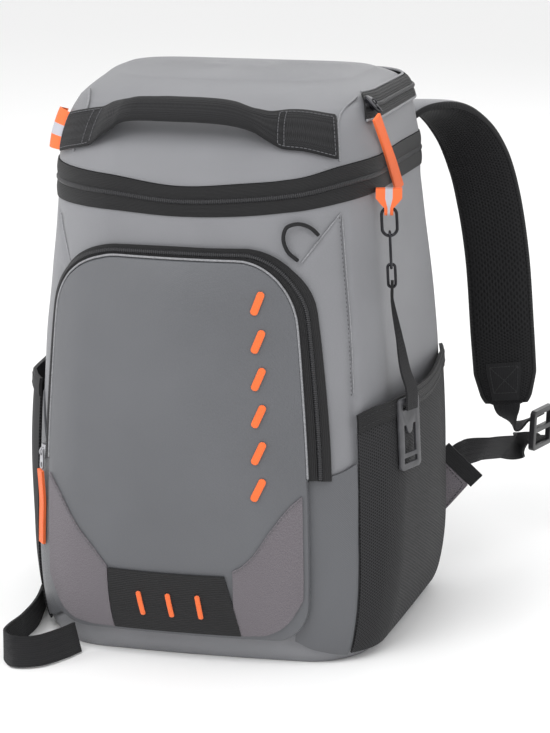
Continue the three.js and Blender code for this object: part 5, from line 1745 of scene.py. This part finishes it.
def zip_slider(prefix, station, z, lift, metal):
    along = wall_along(station, z)
    rise = (wall_point(station, z + 0.004) - wall_point(station, z - 0.004)).normalized()
    origin = on_wall(station, z, lift + 0.0029)
    matrix = fitting(origin, along, rise)
    bpy.ops.object.select_all(action="DESELECT")
    bpy.ops.mesh.primitive_cube_add(size=1)
    block = bpy.context.object
    block.name = f"{prefix}_slider_block"
    with editing(block):
        bpy.ops.transform.resize(value=(slider_width, slider_length, 0.004))
        bpy.ops.mesh.subdivide(number_cuts=2)
    for vertex in block.data.vertices:
        vertex.co.x *= mix(0.7, 1.0, clamp(0.5 + vertex.co.y / slider_length))
        if vertex.co.z > 0.001:
            vertex.co.z -= 0.0006 * abs(vertex.co.x) / (slider_width / 2)
    apply_modifier(block, "BEVEL", width=0.0007, segments=3, limit_method="ANGLE",
                   angle_limit=math.radians(30))
    bpy.ops.mesh.primitive_torus_add(major_radius=0.0026, minor_radius=0.0006, major_segments=24,
                                     minor_segments=10, location=(0, -0.0005, 0.0017),
                                     rotation=(0, math.pi / 2, 0))
    bpy.ops.object.transform_apply(location=True, rotation=True, scale=True)
    block.select_set(True)
    bpy.context.view_layer.objects.active = block
    bpy.ops.object.join()
    block = bpy.context.object
    block.data.transform(matrix)
    finish_piece(block, metal, [f"{prefix}_slider"], 50)
    rounded_copy(f"{prefix}_pull_plate", f"{prefix}_slider_pull", 0.0004, metal)
    face = wall_normal(station, z)
    pull_centre = origin + face * (0.002 + seam_gap + 0.0008) - rise * 0.006
    return pull_centre, rise, along


pull_width, pull_thickness = 0.009, 0.0022


def pull_tag(prefix, start, along, way):
    route = [row(start, along)] + [row(on_wall(u, up * body_height, lift), along)
                                   for u, up, lift in way]
    web(f"{prefix}_tag_tape", route, pull_width, 40, f"{prefix}_pull_tag", orange_trim,
        pull_thickness)
    lines = []
    for share in (-0.36, 0.36):
        line = []
        for k in range(3, 38):
            centre, side, face, _, _ = strip_frame(route, k / 40)
            line.append((centre + side * (share * pull_width) + face * (pull_thickness / 2), face))
        lines += [line, [(place - face * pull_thickness, -face) for place, face in line]]
    stitches(f"{prefix}_tag_stitches", lines, 0.003, (0.002, 0.0005, 0.0004), orange_trim)


lid_pull, lid_rise, lid_along = zip_slider(
    "lid", lid_zip_from + 0.06, lid_zip_low + lid_zip_height / 2, 0.002 + 1.3 * lay_gap, dark_metal)
pull_tag("lid", lid_pull - lid_rise * (0.009 + seam_gap + 0.0026), lid_along,
         [(2.05, 0.88, 0.005), (2.2, 0.84, 0.005), (2.3, 0.812, 0.005)])
pocket_pull, pocket_rise, pocket_along = zip_slider(
    "pocket", -1.575, 0.35 * body_height, 0.0, silver_metal)
pull_tag("pocket", pocket_pull - pocket_rise * (0.009 + seam_gap + 0.0002), pocket_along,
         [(-1.585, 0.26, 0.004), (-1.59, 0.22, 0.004), (-1.595, 0.178, 0.004)])

# %% [markdown]
# The shoulder straps get their second cloth: a grey nylon cover on the side away from the
# wearer, a black binding along both edges, and the sewn box with its cross at the lower end.

# %% Strap covers and bindings
def strap_cover(name, rows, side):
    route = strap_route(rows, side)

    def pad_half(x, thick, t):
        bow = clamp(1 - abs(x) ** (1 / 0.6)) ** 0.4
        return thick * strap_thickness / 2 * end_pinch(t) * bow

    def cover(s, t):
        t = mix(0.004, 0.985, t)
        centre, across, face, wide, thick = strip_frame(route, t)
        x = mix(-0.985, 0.985, s)
        bow = pad_half(x, thick, t)
        return centre + across * (x * wide * strap_width / 2 * end_round(t)) - face * (bow + 0.0008)

    def box_spot(x, t, off):
        centre, across, face, wide, thick = strip_frame(route, t)
        return (centre + across * (x * wide * strap_width)
                + face * (pad_half(2 * x, thick, t) + off)), face

    def patch_spot(s, t):
        return box_spot(mix(-0.3, 0.3, s), mix(box_from - 0.01, 0.985, t), 0.0007)[0]

    sheet(f"strap_cover_{name}", 30, 150, cover, (strap_width, route_length(route)), 0.001,
          grey_nylon, [])
    for edge, label in ((1, "outer"), (-1, "inner")):
        spots = []
        for k in range(161):
            t = mix(0.005, 0.995, k / 160)
            centre, across, face, wide, _ = strip_frame(route, t)
            spots.append((centre + across * (edge * wide * strap_width * 0.5 * end_round(t)), face))
        binding = sewn_cord(f"strap_binding_{name}_{label}", spots, 0.0022, 1.25, 10)
        finish_piece(binding, black_tape, [])
    box_from, box_to = 0.885, 0.962
    sheet(f"strap_patch_{name}", 12, 24, patch_spot, (0.03, 0.05), 0.0012, black_webbing, [])
    corners = [(-0.24, box_from), (0.24, box_from), (0.24, box_to), (-0.24, box_to)]
    lines = []
    for a, b in ((0, 1), (1, 2), (2, 3), (3, 0), (0, 2), (1, 3)):
        steps = [[mix(p, q, k / 12) for p, q in zip(corners[a], corners[b])] for k in range(13)]
        lines.append([box_spot(x, t, 0.0015) for x, t in steps])
    stitches(f"strap_box_{name}", lines, 0.003, (0.0024, 0.0007, 0.0005), black_thread)


for strap in straps:
    strap_cover(*strap)

# %% [markdown]
# The nodes of the frame that have no dressed piece, and so still show as CAD, are printed.

# %% Nodes left as CAD
print("left as CAD", sorted(n for n, o in nodes.items() if not o.hide_render))
